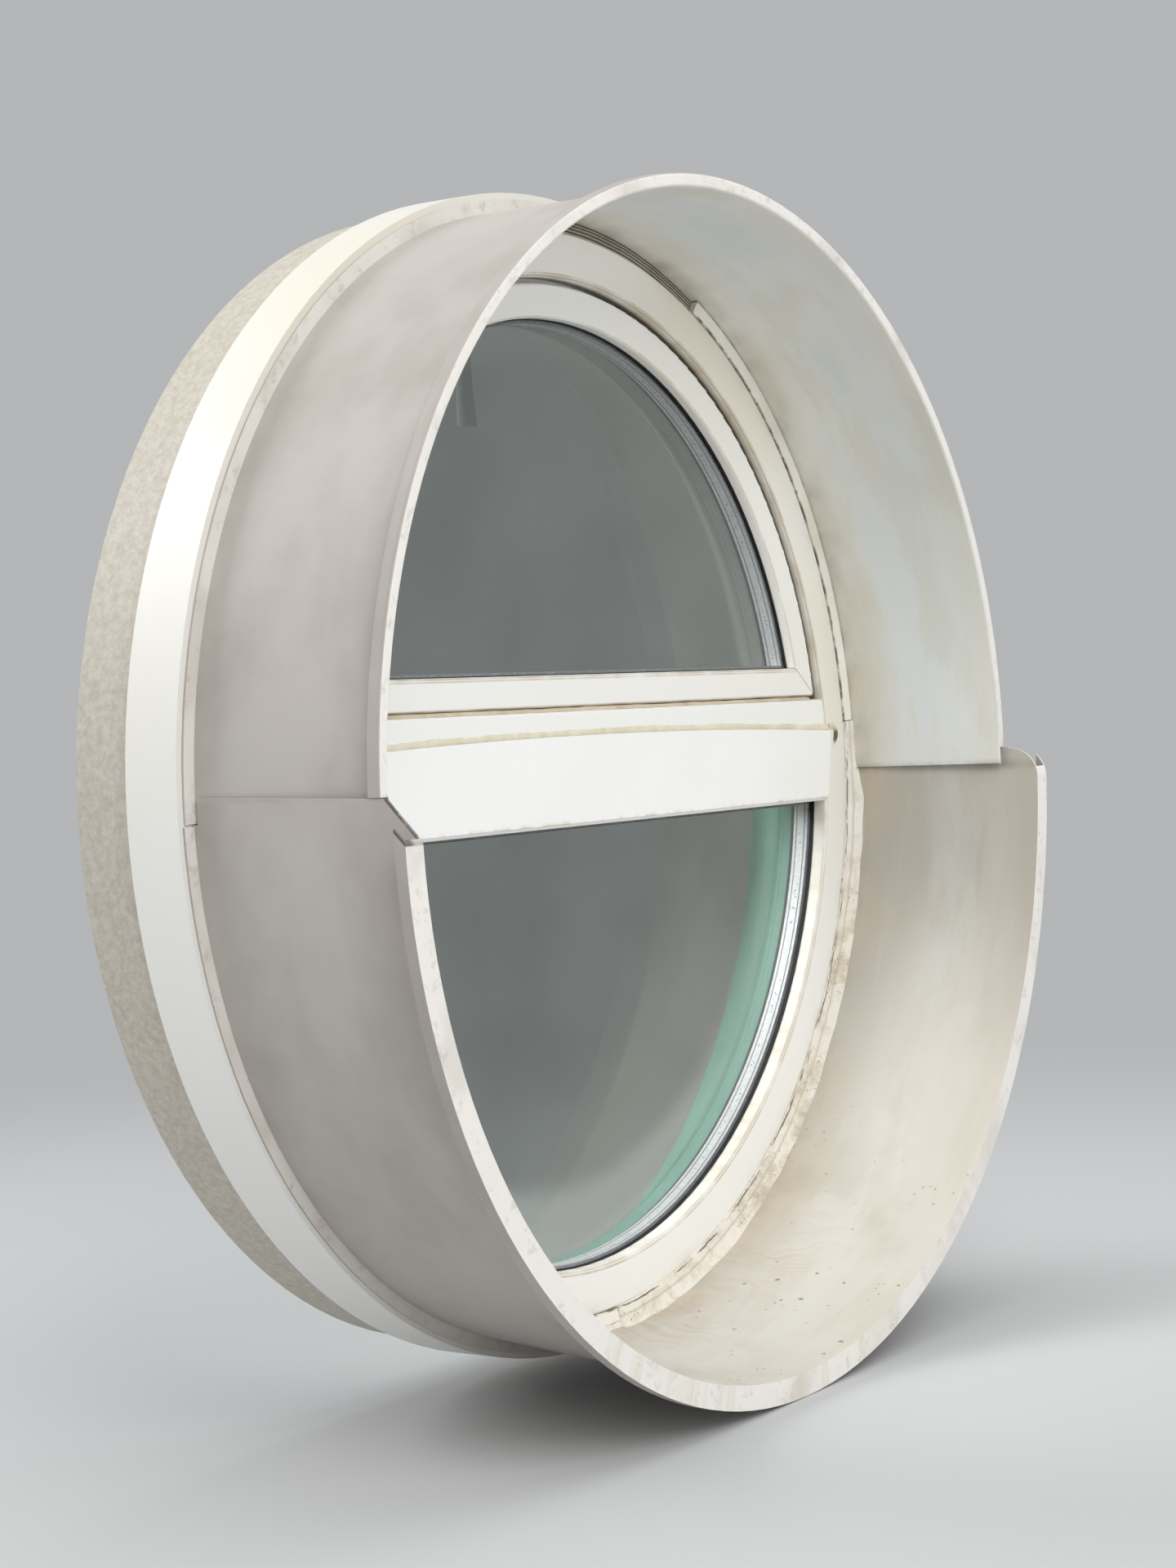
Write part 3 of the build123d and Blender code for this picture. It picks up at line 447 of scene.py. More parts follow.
def liner_paint(name, base, base_far_painted_light, wash, stain, seed, wash_depth):
    """Weathered white paint on the reveal's sheet: grey inside with painted light away from the axis,
    brighter rim, dull outside.
    """
    surface = Surface(name)
    cloud = surface.noise(4.2, roughness=0.5)
    colour = reveal_inside(surface, cloud, base, base_far_painted_light, wash, stain, seed, wash_depth)
    colour = reveal_grime(surface, colour)
    colour = reveal_bottom(surface, colour, seed)
    facing = surface.facing_out()
    inside = surface.ramp(facing, -0.6, -0.3, 1.0, 0.0)
    outside = surface.ramp(facing, 0.3, 0.6)
    edge = surface.minus(1.0, surface.either(inside, outside))
    colour = surface.mix(outside, colour, reveal_shell(surface, seed))
    colour = surface.mix(edge, colour, reveal_rim(surface, seed))
    colour = corner_cut_line(surface, colour)
    surface.bump(surface.noise(48.0, detail=4.0), 0.10, 0.0005)
    return surface.finish(colour, surface.ramp(cloud, 0.3, 0.75, 0.42, 0.60), specular=0.4)


def soft_white(surface, creamy):
    """Base colour of the white profiles, with a slow drift towards cream, most at the top."""
    drift = surface.ramp(surface.noise(3.0, detail=1.5, roughness=0.4), 0.32, 0.68, 0.4, 1.0)
    higher = surface.ramp(surface.height, -0.30, 0.30, 0.25, 1.0)
    share = surface.scaled(surface.both(drift, higher), creamy)
    return surface.mix(share, tone(246, 246, 244), tone(232, 226, 211))


def edge_lines(surface, lines, strength):
    """Mask of thin, slightly broken lines; each line is a (value, place, half width)."""
    broken = surface.ramp(surface.noise(24.0), 0.30, 0.62, 0.25, 1.0)
    masks = [surface.band(value, place, half, 0.0009) for value, place, half in lines]
    return surface.scaled(surface.both(surface.either(*masks), broken), strength)


def window_plastic(name, creamy):
    """White window profile: smooth, creamy as asked, with thin dirt at its edges and painted shade in the
    gap.
    """
    surface = Surface(name)
    radius = surface.radius()
    outdoors = surface.ramp(surface.depth, RING_FACE_DEPTH + 0.004, RING_FACE_DEPTH)
    upper = surface.ramp(surface.height, 0.056, 0.060)
    colour = soft_white(surface, creamy)
    lines = (
        (radius, RING_FACE_EDGE, 0.0012),
        (radius, RING_LIP_EDGE, 0.0006),
        (radius, RING_LIP_LINE, 0.0003),
    )
    edge_dirt = surface.both(edge_lines(surface, lines, 0.62), outdoors)
    colour = surface.mix(edge_dirt, colour, tone(178, 160, 126))
    # Painted shade: the gap's wall under the ring's lip and the lip's corner are darkened above the transom
    in_gap = surface.ramp(radius, RING_LIP_EDGE, RING_LIP_EDGE - 0.0012)
    behind_face = surface.ramp(surface.depth, -0.0300, -0.0250)
    gap_wall_shade = surface.both(in_gap, behind_face, upper)
    colour = surface.stained(colour, gap_wall_shade, 0.85, tone(70, 64, 56))
    gap_edge_shade = surface.both(surface.band(radius, RING_LIP_CORNER, 0.0003, 0.0005), upper, outdoors)
    colour = surface.stained(colour, gap_edge_shade, 0.55, tone(112, 104, 90))
    outer_side = surface.ramp(radius, 0.470, 0.487)
    outer_film = surface.both(outer_side, surface.patches(16.0, 0.40, 0.70), outdoors)
    colour = surface.stained(colour, outer_film, 0.28, tone(196, 186, 164))
    return surface.finish(colour, 0.30)


def sash_mitre(surface, side):
    """Line of the welded mitre, as a distance from it, from the pane's corner to the sash's."""
    inner_x, inner_z = SASH_MITRE_INNER
    outer_x, outer_z = SASH_MITRE_OUTER
    length = math.hypot(outer_x - inner_x, outer_z - inner_z)
    along_x = surface.scaled(surface.minus(side, inner_x), (inner_z - outer_z) / length)
    along_z = surface.scaled(surface.minus(surface.height, inner_z), (outer_x - inner_x) / length)
    return surface.plus(along_x, along_z)


def sash_dirt(surface):
    """Dirt lines of the sash: along its arch, along its rail and at its foot."""
    radius = surface.radius()
    arch_lines = ((radius, SASH_ARCH_OUTER, 0.0006), (radius, SASH_ARCH_INNER, 0.0004))
    upper_line, lower_line = SASH_RAIL_LINES
    rail_lines = ((surface.height, upper_line, 0.0005), (surface.height, lower_line, 0.0002))
    above = surface.ramp(surface.height, 0.0890, 0.0915)
    between = surface.ramp(radius, 0.4100, 0.4115, 1.0, 0.0)
    arch = surface.both(edge_lines(surface, arch_lines, 0.42), above)
    rail = surface.both(edge_lines(surface, rail_lines, 0.60), between)
    foot = edge_lines(surface, ((surface.height, SASH_FOOT, 0.0009),), 0.66)
    return surface.either(arch, rail, foot)


def sash_plastic():
    """The sash's plastic, with the welded mitres and painted shade, a dark spot at its lower corners."""
    surface = Surface("sash_plastic")
    side = surface.math("ABSOLUTE", surface.x)
    low = surface.ramp(surface.height, 0.0905, 0.0915, 1.0, 0.0)
    out_face = surface.ramp(surface.depth, -0.0205, -0.0195, 1.0, 0.0)
    mitre = surface.both(surface.band(sash_mitre(surface, side), 0.0, 0.00035, 0.0005), low, out_face)
    # Painted shade: a dark spot at the sash's lower outer corners, where the gap under the sash ends
    corner_x = surface.minus(side, SASH_MITRE_OUTER[0] - 0.002)
    corner_z = surface.minus(surface.height, SASH_MITRE_OUTER[1] + 0.0012)
    spot = surface.ramp(surface.length(corner_x, corner_z), 0.0014, 0.0040, 1.0, 0.0)
    colour = soft_white(surface, 0.5)
    colour = surface.mix(surface.both(sash_dirt(surface), out_face), colour, tone(176, 156, 118))
    colour = surface.stained(colour, mitre, 0.6, tone(128, 118, 104))
    colour = surface.stained(colour, surface.both(spot, out_face), 0.9, tone(66, 56, 46))
    return surface.finish(colour, 0.30)


def cover_plate():
    """Flat white plate on the transom, with a little dust along its lower edge."""
    surface = Surface("cover_plate")
    cloud = surface.noise(4.0, detail=4.0)
    colour = surface.mix(surface.ramp(cloud, 0.4, 0.8, 0.0, 0.3), tone(249, 249, 247), tone(236, 234, 228))
    foot = surface.ramp(surface.height, *PLATE_FOOT)
    dust = surface.both(foot, surface.patches(60.0, 0.42, 0.66, detail=4.0))
    colour = surface.stained(colour, dust, 0.5, tone(184, 172, 146))
    return surface.finish(colour, 0.32)


def plain_plastic(name, colour, shade, rough, scale=8.0):
    """Moulded plastic with faint clouding and a fine grain."""
    surface = Surface(name)
    cloud = surface.noise(scale, detail=4.0)
    mixed = surface.clouded(cloud, 0.35, 0.72, colour, shade)
    surface.bump(surface.noise(500.0, detail=2.0), 0.06, 0.0002)
    return surface.finish(mixed, surface.ramp(cloud, 0.3, 0.7, rough, rough + 0.12))


def lit(tint, level):
    """Opaque colour of a tint at a level of brightness."""
    return tuple(level * value for value in tint) + (1.0,)


def glass(name, tint, specular, edge_light=1.0):
    """A pane. Inner ones are tinted dark, painted shade as over a dark room; edge_light clears that painted
    shade at the edge.
    """
    surface = Surface(name)
    film = surface.noise(6.0, detail=2.0)
    colour = surface.clouded(film, 0.35, 0.75, lit(tint, 1.0), lit(tint, 0.9))
    colour = surface.mix(surface.ramp(surface.radius(), *CLEAR_EDGE), colour, lit(tint, edge_light))
    surface.shader.inputs["Transmission Weight"].default_value = 1.0
    surface.shader.inputs["IOR"].default_value = 1.5
    return surface.finish(colour, 0.0, specular=specular)


def spacer_metal():
    """Rolled aluminium spacer: two grooves and a row of fine holes in its visible face."""
    surface = Surface("spacer_metal")
    across = surface.minus(surface.depth, SPACER_DEPTH)
    grooves = [surface.band(across, place, 0.0004, 0.0005) for place in (SPACER_GROOVE, -SPACER_GROOVE)]
    dots = surface.join(surface.scaled(surface.angle(), 110.0), 0.0, surface.scaled(surface.depth, 200.0))
    dots = surface.ramp(surface.cells(1.0, dots), 0.18, 0.24, 1.0, 0.0)
    holes = surface.both(dots, surface.band(across, 0.0, 0.0016, 0.0004))
    marks = surface.either(*grooves, holes)
    brushed = surface.noise(260.0)
    colour = surface.clouded(brushed, 0.3, 0.7, tone(224, 225, 228), tone(204, 206, 211))
    colour = surface.stained(colour, marks, 0.8, tone(88, 90, 96))
    surface.bump(surface.minus(1.0, marks), 0.5, 0.0004)
    return surface.finish(colour, 0.45, metallic=0.35)


def rubber(name, colour, shade, rough):
    """Dull rubber with a little dust."""
    surface = Surface(name)
    dust = surface.ramp(surface.noise(60.0, detail=5.0), 0.48, 0.78, 0.0, 0.7)
    surface.bump(surface.noise(240.0), 0.2, 0.0003)
    return surface.finish(surface.mix(dust, colour, shade), rough, specular=0.3)


def foam_tape():
    """Weathered foam tape in layers, with dark lines between them."""
    surface = Surface("foam_tape")
    radius = surface.plus(surface.radius(), surface.wobble(16.0, 0.0022))
    lines = surface.either(*[surface.band(radius, place, 0.00034, 0.0007) for place in TAPE_LAYERS])
    pores = surface.ramp(surface.cells(900.0), 0.25, 0.45, 1.0, 0.0)
    cloud = surface.noise(24.0, detail=5.0, roughness=0.65)
    colour = surface.clouded(cloud, 0.3, 0.75, tone(184, 178, 165), tone(152, 145, 131))
    colour = surface.stained(colour, pores, 0.35, tone(86, 78, 66))
    colour = surface.stained(colour, lines, 0.85, tone(52, 46, 40))
    surface.bump(surface.minus(cloud, lines), 0.6, 0.0009)
    return surface.finish(colour, 0.85, specular=0.2)


def trim_strip():
    """White cover strip, dirty along both of its edges."""
    surface = Surface("trim_strip")
    radius = surface.radius()
    inner_edge = surface.band(radius, STRIP_INNER_LINE, 0.0003, 0.0012)
    outer_edge = surface.band(radius, STRIP_OUTER_LINE, 0.0004, 0.0016)
    broken = surface.patches(50.0, 0.38, 0.62, detail=5.0, roughness=0.65)
    dirt = surface.both(surface.either(inner_edge, outer_edge), broken)
    cloud = surface.noise(10.0, detail=4.0)
    colour = surface.mix(surface.ramp(cloud, 0.4, 0.75, 0.0, 0.6), tone(240, 237, 228), tone(208, 198, 178))
    colour = surface.stained(colour, dirt, 0.85, tone(84, 74, 62))
    surface.bump(surface.noise(200.0), 0.12, 0.0004)
    return surface.finish(colour, 0.42)


def sealant():
    """Old sealant, smeared and dirty, cracked along the ring's edge, with dark specks."""
    surface = Surface("sealant")
    cloud = surface.noise(34.0, detail=6.0, roughness=0.7)
    colour = surface.clouded(cloud, 0.42, 0.72, tone(236, 231, 220), tone(196, 183, 160))
    high = surface.ramp(surface.height, -0.20, -0.02)
    colour = surface.stained(colour, high, 0.6, tone(236, 234, 228))
    radius = surface.plus(surface.radius(), surface.wobble(55.0, 0.0034))
    fold = surface.band(radius, SEALANT_FOLD, 0.0004, 0.0012)
    colour = surface.stained(colour, fold, 0.45, tone(184, 168, 140))
    broken = surface.patches(30.0, 0.40, 0.58, detail=4.0)
    crack = surface.both(surface.band(radius, SEALANT_CRACK, 0.00035, 0.0006), broken)
    colour = surface.stained(colour, crack, 0.85, tone(78, 68, 56))
    specks = surface.torn_specks(230.0, 420.0, 0.36, 0.44)
    specks = surface.both(specks, surface.patches(22.0, 0.48, 0.58))
    colour = surface.stained(colour, specks, 0.75, tone(84, 76, 64))
    surface.bump(surface.noise(160.0, detail=6.0, roughness=0.7), 0.5, 0.0012)
    return surface.finish(colour, 0.62, specular=0.3)


def caulk(name, light, dark):
    """Clouded soft filling, as caulk or as settled dirt and painted shade, with dark mould at the caulk's
    right end.
    """
    surface = Surface(name)
    cloud = surface.noise(26.0, detail=5.0, roughness=0.65)
    colour = surface.clouded(cloud, 0.36, 0.70, light, dark)
    mould_x, mould_z = MOULD_PLACE
    away_x = surface.plus(surface.minus(surface.x, mould_x), surface.wobble(60.0, 0.010))
    away_z = surface.minus(surface.height, mould_z)
    mould = surface.ramp(surface.length(away_x, away_z), 0.0040, 0.0100, 0.9, 0.0)
    colour = surface.mix(mould, colour, tone(66, 60, 52))
    surface.bump(surface.noise(180.0, detail=5.0, roughness=0.7), 0.4, 0.0010)
    return surface.finish(colour, 0.6, specular=0.3)


def zinc():
    """Bright zinc-plated steel."""
    surface = Surface("zinc_steel")
    cloud = surface.noise(70.0, detail=4.0)
    colour = surface.clouded(cloud, 0.3, 0.7, tone(200, 202, 205), tone(168, 171, 176))
    surface.bump(surface.noise(700.0, detail=2.0), 0.08, 0.0002)
    return surface.finish(colour, surface.ramp(cloud, 0.3, 0.7, 0.28, 0.42), metallic=1.0)


def green_paint(surface, scale):
    """Pale green paint of the room side."""
    return surface.clouded(surface.noise(scale), 0.35, 0.7, tone(154, 223, 206), tone(144, 214, 196))


def painted_bead():
    """The lower pane's arch bead: the green paint of the room runs over it, up to the glass."""
    surface = Surface("painted_bead")
    brushed = run_marks(surface, surface.depth, surface.angle(), 300.0, 8.0, 4.0)
    surface.bump(brushed, 0.12, 0.0004)
    return surface.finish(green_paint(surface, 12.0), surface.ramp(brushed, 0.3, 0.7, 0.34, 0.46))


def lining_paint():
    """Room-side lining: pale green paint inside and at its edge, bare fibre board outside."""
    surface = Surface("lining_mint")
    fibres = surface.noise(150.0, detail=5.0, roughness=0.75)
    board = surface.clouded(fibres, 0.3, 0.7, tone(206, 200, 188), tone(184, 176, 162))
    outside = surface.ramp(surface.facing_out(), 0.3, 0.6)
    colour = surface.mix(outside, green_paint(surface, 7.0), board)
    surface.bump(surface.noise(320.0, detail=4.0, roughness=0.65), 0.25, 0.0005)
    return surface.finish(colour, 0.55)


def reveal_materials():
    """The reveal's two halves, and the lining on the room side."""
    # The far colours are painted light: lighter at the upper reveal's crown and at the lower reveal's
    # bottom
    upper = liner_paint(
        "liner_paint_upper",
        base=tone(226, 227, 221),
        base_far_painted_light=tone(242, 242, 236),
        wash=tone(222, 227, 229),
        stain=tone(204, 199, 184),
        seed=3.0,
        wash_depth=-0.125,
    )
    lower = liner_paint(
        "liner_paint_lower",
        base=tone(182, 177, 167),
        base_far_painted_light=tone(204, 199, 190),
        wash=tone(202, 199, 193),
        stain=tone(186, 177, 158),
        seed=9.0,
        wash_depth=-0.165,
    )
    return {"liner_upper": upper, "liner_lower": lower, "inner_lining": lining_paint()}


def profile_materials():
    """The white profiles of frame and sash, and their glazing beads."""
    bead_white = plain_plastic("bead_plastic", tone(245, 244, 240), tone(236, 234, 226), 0.26)
    return {
        "frame_ring": window_plastic("ring_plastic", 1.0),
        "transom": window_plastic("transom_plastic", 0.3),
        "transom_cover": cover_plate(),
        "sash_frame": sash_plastic(),
        "lower_arch_bead": painted_bead(),
        "lower_straight_bead": bead_white,
        "sash_arch_bead": bead_white,
        "sash_straight_bead": bead_white,
    }


def glazing_materials():
    """Both glass units with their gaskets, and the gaskets between sash and frame."""
    outer_glass = glass("outer_glass", (0.93, 0.96, 0.95), 0.35)
    spacer = spacer_metal()
    edge = rubber("edge_seal", tone(22, 22, 24), tone(34, 34, 36), 0.5)
    black = rubber("black_rubber", tone(26, 26, 27), tone(58, 55, 50), 0.62)
    block = plain_plastic("block_plastic", tone(88, 100, 110), tone(76, 88, 98), 0.45)
    materials = {
        # The lower inner pane's painted shade clears at its edge, so the green lining behind shows brighter
        "lower_inner_pane": glass("lower_inner_glass", ROOM_TINT, 0.0, edge_light=1.8),
        "sash_inner_pane": glass("inner_glass", ROOM_TINT, 0.0),
        "frame_gasket": black,
        "sash_gasket": black,
    }
    for unit in ("lower", "sash"):
        materials[unit + "_outer_pane"] = outer_glass
        materials[unit + "_spacer"] = spacer
        materials[unit + "_edge_seal"] = edge
        materials[unit + "_outer_gasket"] = black
        materials[unit + "_inner_gasket"] = black
        materials[unit + "_setting_blocks"] = block
    return materials


def joint_materials():
    """What fills and covers the joints: tape, strips, sealant and caulk."""
    trim = trim_strip()
    return {
        "sealing_tape": foam_tape(),
        "cover_strip_upper": trim,
        "cover_strip_lower": trim,
        "sealant_bead": sealant(),
        "cover_caulk": caulk("caulk", tone(232, 226, 206), tone(212, 203, 178)),
    }


def hardware_materials():
    """Hinges, stays, handle and lock, and the steel in the transom."""
    white = plain_plastic("hardware_white", tone(243, 243, 241), tone(235, 235, 231), 0.28, scale=14.0)
    white_nodes = ("hinge_frame_leaves", "hinge_sash_leaves", "handle_rose", "handle_lever")
    steel_nodes = (
        "transom_steel",
        "hinge_pins",
        "stay_sash_brackets",
        "stay_frame_brackets",
        "stay_arm_left",
        "stay_arm_right",
        "lock_crank",
        "lock_bolt",
        "lock_case",
        "lock_faceplate",
        "lock_keep",
    )
    return {**dict.fromkeys(white_nodes, white), **dict.fromkeys(steel_nodes, zinc())}


def make_materials():
    """Every node's material, by the node's name."""
    return {
        **reveal_materials(),
        **profile_materials(),
        **glazing_materials(),
        **joint_materials(),
        **hardware_materials(),
    }


def dress(materials):
    """Gives each node its material, through its own material slots."""
    for node_name, material in materials.items():
        for slot in NODES[node_name].material_slots:
            slot.material = material


def clear_panes():
    """Light reaches what lies behind the panes straight, without a shadow of the glass."""
    for node_name in ("sash_outer_pane", "sash_inner_pane", "lower_outer_pane", "lower_inner_pane"):
        NODES[node_name].visible_shadow = False


def spread(start, end, steps):
    """Even places from start to end, both included."""
    return [start + (end - start) * step / steps for step in range(steps + 1)]


def around(radius, depth, angle):
    """Point in metres at a radius and outward depth in mm, at an angle in degrees above +X."""
    turn = math.radians(angle)
    return (radius * MM * math.cos(turn), -depth * MM, radius * MM * math.sin(turn))


def lump(place, scale, seed):
    """Smooth value from -1 to 1 along a bead."""
    return noise.noise(Vector((place * scale, seed, 0.5)))


def closed_piece(name, points, faces, material):
    """Object with a closed mesh whose faces look outwards."""
    mesh = bpy.data.meshes.new(name)
    mesh.from_pydata(points, [], faces)
    made = bmesh.new()
    made.from_mesh(mesh)
    bmesh.ops.recalc_face_normals(made, faces=made.faces)
    made.to_mesh(mesh)
    made.free()
    mesh.materials.append(material)
    piece = bpy.data.objects.new(name, mesh)
    bpy.context.scene.collection.objects.link(piece)
    return piece


def strips(first, rows, count):
    """Four-sided faces between rows of count points each, from point number first on."""
    faces = []
    for row in range(rows - 1):
        for index in range(count):
            here = first + row * count + index
            after = first + row * count + (index + 1) % count
            faces.append((here, after, after + count, here + count))
    return faces


def swept(name, sections, material, replaced=()):
    """Closed, smooth piece on the frame, through sections with equally many points."""
    count = len(sections[0])
    points = [point for section in sections for point in section]
    faces = strips(0, len(sections), count)
    faces.append(tuple(range(count)))
    faces.append(tuple(range(len(points) - 1, len(points) - count - 1, -1)))
    piece = closed_piece(name, points, faces, material)
    piece.data.polygons.foreach_set("use_smooth", [True] * len(piece.data.polygons))
    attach(piece, "frame")
    if replaced:
        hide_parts(*replaced)


def joint_wall(angle):
    """Inner radius of the reveal beside the joint, in mm, at an angle in degrees."""
    start = Vector(around(PROBE_RADIUS, PROBE_DEPTH, angle))
    direction = Vector((start.x, 0.0, start.z)).normalized()
    found = []
    for node_name in ("liner_upper", "liner_lower"):
        hit, place, _, _ = NODES[node_name].ray_cast(start, direction)
        if hit:
            found.append(math.hypot(place.x, place.z) / MM)
    return min(found)


def sealant_section(angle):
    """The joint's sealant at one angle: over the ring's edge, then down to the reveal's sheet."""
    wall = joint_wall(angle)
    along = math.radians(angle) * JOINT_MIDDLE
    low = max(0.0, 1.0 - abs(angle - SEALANT_WIDEST) / SEALANT_SWELL)
    flat = min(1.0, max(0.0, (angle - SEALANT_FLAT_START) / SEALANT_FLAT_RUN))
    smear = max(0.2, 0.8 + 0.9 * lump(along, 0.045, 1) + 1.1 * low) * (1.0 - 0.7 * flat)
    crest = (0.9 + 0.5 * lump(along, 0.07, 2) + 0.6 * low) * (1.0 - 0.5 * flat)
    foot = 10.6 + 1.4 * lump(along, 0.04, 3) + 1.2 * low
    foot += (3.6 - foot) * flat
    rough = 0.45 + 0.45 * low
    rougher = (1.3 - flat) * rough
    rows = (
        (RING_EDGE - smear, -0.2),
        (RING_EDGE - 0.6 * smear, 0.5 * crest),
        (RING_EDGE + 0.4, 0.2 + crest),
        (RING_EDGE + 1.7, 0.9 + 1.1 * crest + rough * lump(along, 0.11, 4)),
        (RING_EDGE + 4.1, 2.2 - 0.6 * flat + 0.5 * crest + rough * lump(along, 0.09, 5)),
        (RING_EDGE + 7.1, 3.9 - 1.8 * flat + rougher * lump(along, 0.10, 6)),
        (RING_EDGE + 10.1, 6.0 - 3.3 * flat + rougher * lump(along, 0.08, 7)),
        (wall - 1.6, 8.4 - 5.2 * flat + (1.0 - flat) * rough * lump(along, 0.09, 8)),
        (wall - 0.3, foot),
        (wall + SHEET_SINK, foot + 0.6),
        (wall + SHEET_SINK, JOINT_FLOOR - RING_FACE),
        (RING_EDGE + 0.2, JOINT_FLOOR - RING_FACE),
    )
    return [around(radius, RING_FACE + proud, angle) for radius, proud in rows]


def make_sealant(material):
    """Sealant of the joint, smeared over the ring's edge; it stands in for the plain bead."""
    sections = [sealant_section(angle) for angle in spread(*SEALANT_SPAN, SEALANT_STEPS)]
    swept("sealant_smears", sections, material, ("sealant_bead",))


def strip_section(angle):
    """Sealant in the narrow joint between the lower cover strip and the reveal, at one angle."""
    wall = joint_wall(angle)
    rise = 0.5 * lump(math.radians(angle) * STRIP_MIDDLE, 0.12, 17)
    rows = (
        (STRIP_EDGE - STRIP_LAP, 2.2 + rise),
        (STRIP_EDGE, 3.0 + rise),
        (wall - 0.6, 4.6 + rise),
        (wall + SHEET_SINK, 5.6 + rise),
        (wall + SHEET_SINK, STRIP_FLOOR - RING_FACE),
        (STRIP_EDGE - STRIP_LAP, STRIP_FLOOR - RING_FACE),
    )
    return [around(radius, RING_FACE + proud, angle) for radius, proud in rows]


def make_strip_smear(material):
    """Sealant beside the lower cover strip."""
    sections = [strip_section(angle) for angle in spread(*STRIP_SPAN, STRIP_STEPS)]
    swept("strip_smear", sections, material)


def bead_section(place, side, up, half_width, height, index):
    """Rounded outline of a bead, across side and standing up from its seat, in metres."""
    section = []
    for turn in range(BEAD_FACETS + 1):
        angle = math.pi * turn / BEAD_FACETS
        rise = height * math.sin(angle) * (1.0 + 0.18 * lump(index, 0.35, 20 + turn))
        section.append(tuple((place + side * half_width * math.cos(angle) + up * rise) * MM))
    for edge in (-1.0, 1.0):
        section.append(tuple((place + side * half_width * edge - up * BEAD_SINK) * MM))
    return section


def bead(name, stations, up, material, replaced=()):
    """Irregular bead along (place, half width, height) stations in mm, standing up from its seat."""
    up = Vector(up)
    places = [Vector(place) for place, _, _ in stations]
    sections = []
    for index, (_, half_width, height) in enumerate(stations):
        before = places[max(index - 1, 0)]
        after = places[min(index + 1, len(places) - 1)]
        side = (after - before).normalized().cross(up)
        sections.append(bead_section(places[index], side, up, half_width, height, index))
    swept(name, sections, material, replaced)


def rounded(points, times):
    """Corners cut off a run of points, by quarters, so that it bends smoothly."""
    for _ in range(times):
        cut = [points[0]]
        for first, second in zip(points, points[1:]):
            for share in (0.25, 0.75):
                cut.append(tuple(a + (b - a) * share for a, b in zip(first, second)))
        cut.append(points[-1])
        points = cut
    return points


def make_caulk(material):
    """Caulk over the cover plate's upper edge; its right end hooks down beside the plate."""
    bow = (CAULK_REACH * CAULK_REACH + CAULK_RISE * CAULK_RISE) / (2.0 * CAULK_RISE)
    stations = []
    for x in spread(-CAULK_REACH, CAULK_REACH, CAULK_STEPS):
        edge = CAULK_CROWN - bow + math.sqrt(bow * bow - x * x)
        half_width = CAULK_HALF_WIDTH + 0.5 * lump(x, 0.03, 11) + 0.3 * lump(x, 0.11, 12)
        height = CAULK_HEIGHT + 0.3 * lump(x, 0.09, 13)
        stations.append(((x, -RING_FACE, edge + half_width - CAULK_LAP), half_width, height))
    for x, z, half_width in rounded(CAULK_HOOK, 2)[1:]:
        stations.append(((x, -RING_FACE, z), half_width, 0.75 * half_width))
    bead("caulk_smear", stations, (0, -1, 0), material, ("cover_caulk",))


def make_lip_dirt_and_shade(material):
    """Dirt settled on the transom's lip under the sash, which also paints the shade line of the gap."""
    stations = []
    for x in spread(*LIP_SPAN, LIP_STEPS):
        half_width = LIP_HALF_WIDTH + 0.4 * lump(x, 0.05, 16)
        height = LIP_DIRT_AND_SHADE_HEIGHT + 0.35 * lump(x, 0.02, 14) + 0.15 * lump(x, 0.12, 15)
        stations.append(((x, -LIP_DEPTH, LIP_TOP), half_width, height))
    bead("lip_dirt_and_shade", stations, (0, 0, 1), material)


def add_screw(points, faces, place, radius):
    """Low round screw head with a lobed recess, facing +Y, added to a mesh's lists."""
    first = len(points)
    for share, rise, lobe in SCREW_PROFILE:
        for step in range(SCREW_STEPS):
            turn = 2.0 * math.pi * step / SCREW_STEPS
            reach = radius * share * (1.0 + lobe * math.cos(SCREW_LOBES * turn))
            x = place.x + reach * math.cos(turn)
            z = place.z + reach * math.sin(turn)
            points.append((x, place.y + rise * radius, z))
    faces.extend(strips(first, len(SCREW_PROFILE), SCREW_STEPS))
    faces.append(tuple(range(len(points) - SCREW_STEPS, len(points))))
    faces.append(tuple(range(first + SCREW_STEPS - 1, first - 1, -1)))


def make_screws(name, seats, body, material):
    """Screw heads seated on the room side of a body's hardware."""
    points, faces = [], []
    for node_name, x, z, radius in seats:
        for side in (-1.0, 1.0):
            start = Vector((side * x * MM, SCREW_PROBE, z * MM))
            hit, place, _, _ = NODES[node_name].ray_cast(start, Vector((0.0, -1.0, 0.0)))
            if hit:
                add_screw(points, faces, place, radius * MM)
    piece = closed_piece(name, points, faces, material)
    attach(piece, body)


def make_camera():
    """Camera at the photograph's viewpoint, rolled as it was held."""
    forward = (CAMERA_TARGET - CAMERA_PLACE).normalized()
    level_right = forward.cross(Vector((0, 0, 1))).normalized()
    level_up = level_right.cross(forward)
    right = math.cos(CAMERA_ROLL) * level_right + math.sin(CAMERA_ROLL) * level_up
    up = right.cross(forward)
    turn = Matrix((right, up, -forward)).transposed()
    data = bpy.data.cameras.new("camera")
    data.lens = CAMERA_LENS
    data.sensor_width = CAMERA_SENSOR
    camera = bpy.data.objects.new("camera", data)
    camera.matrix_world = Matrix.Translation(CAMERA_PLACE) @ turn.to_4x4()
    bpy.context.scene.collection.objects.link(camera)
    bpy.context.scene.camera = camera


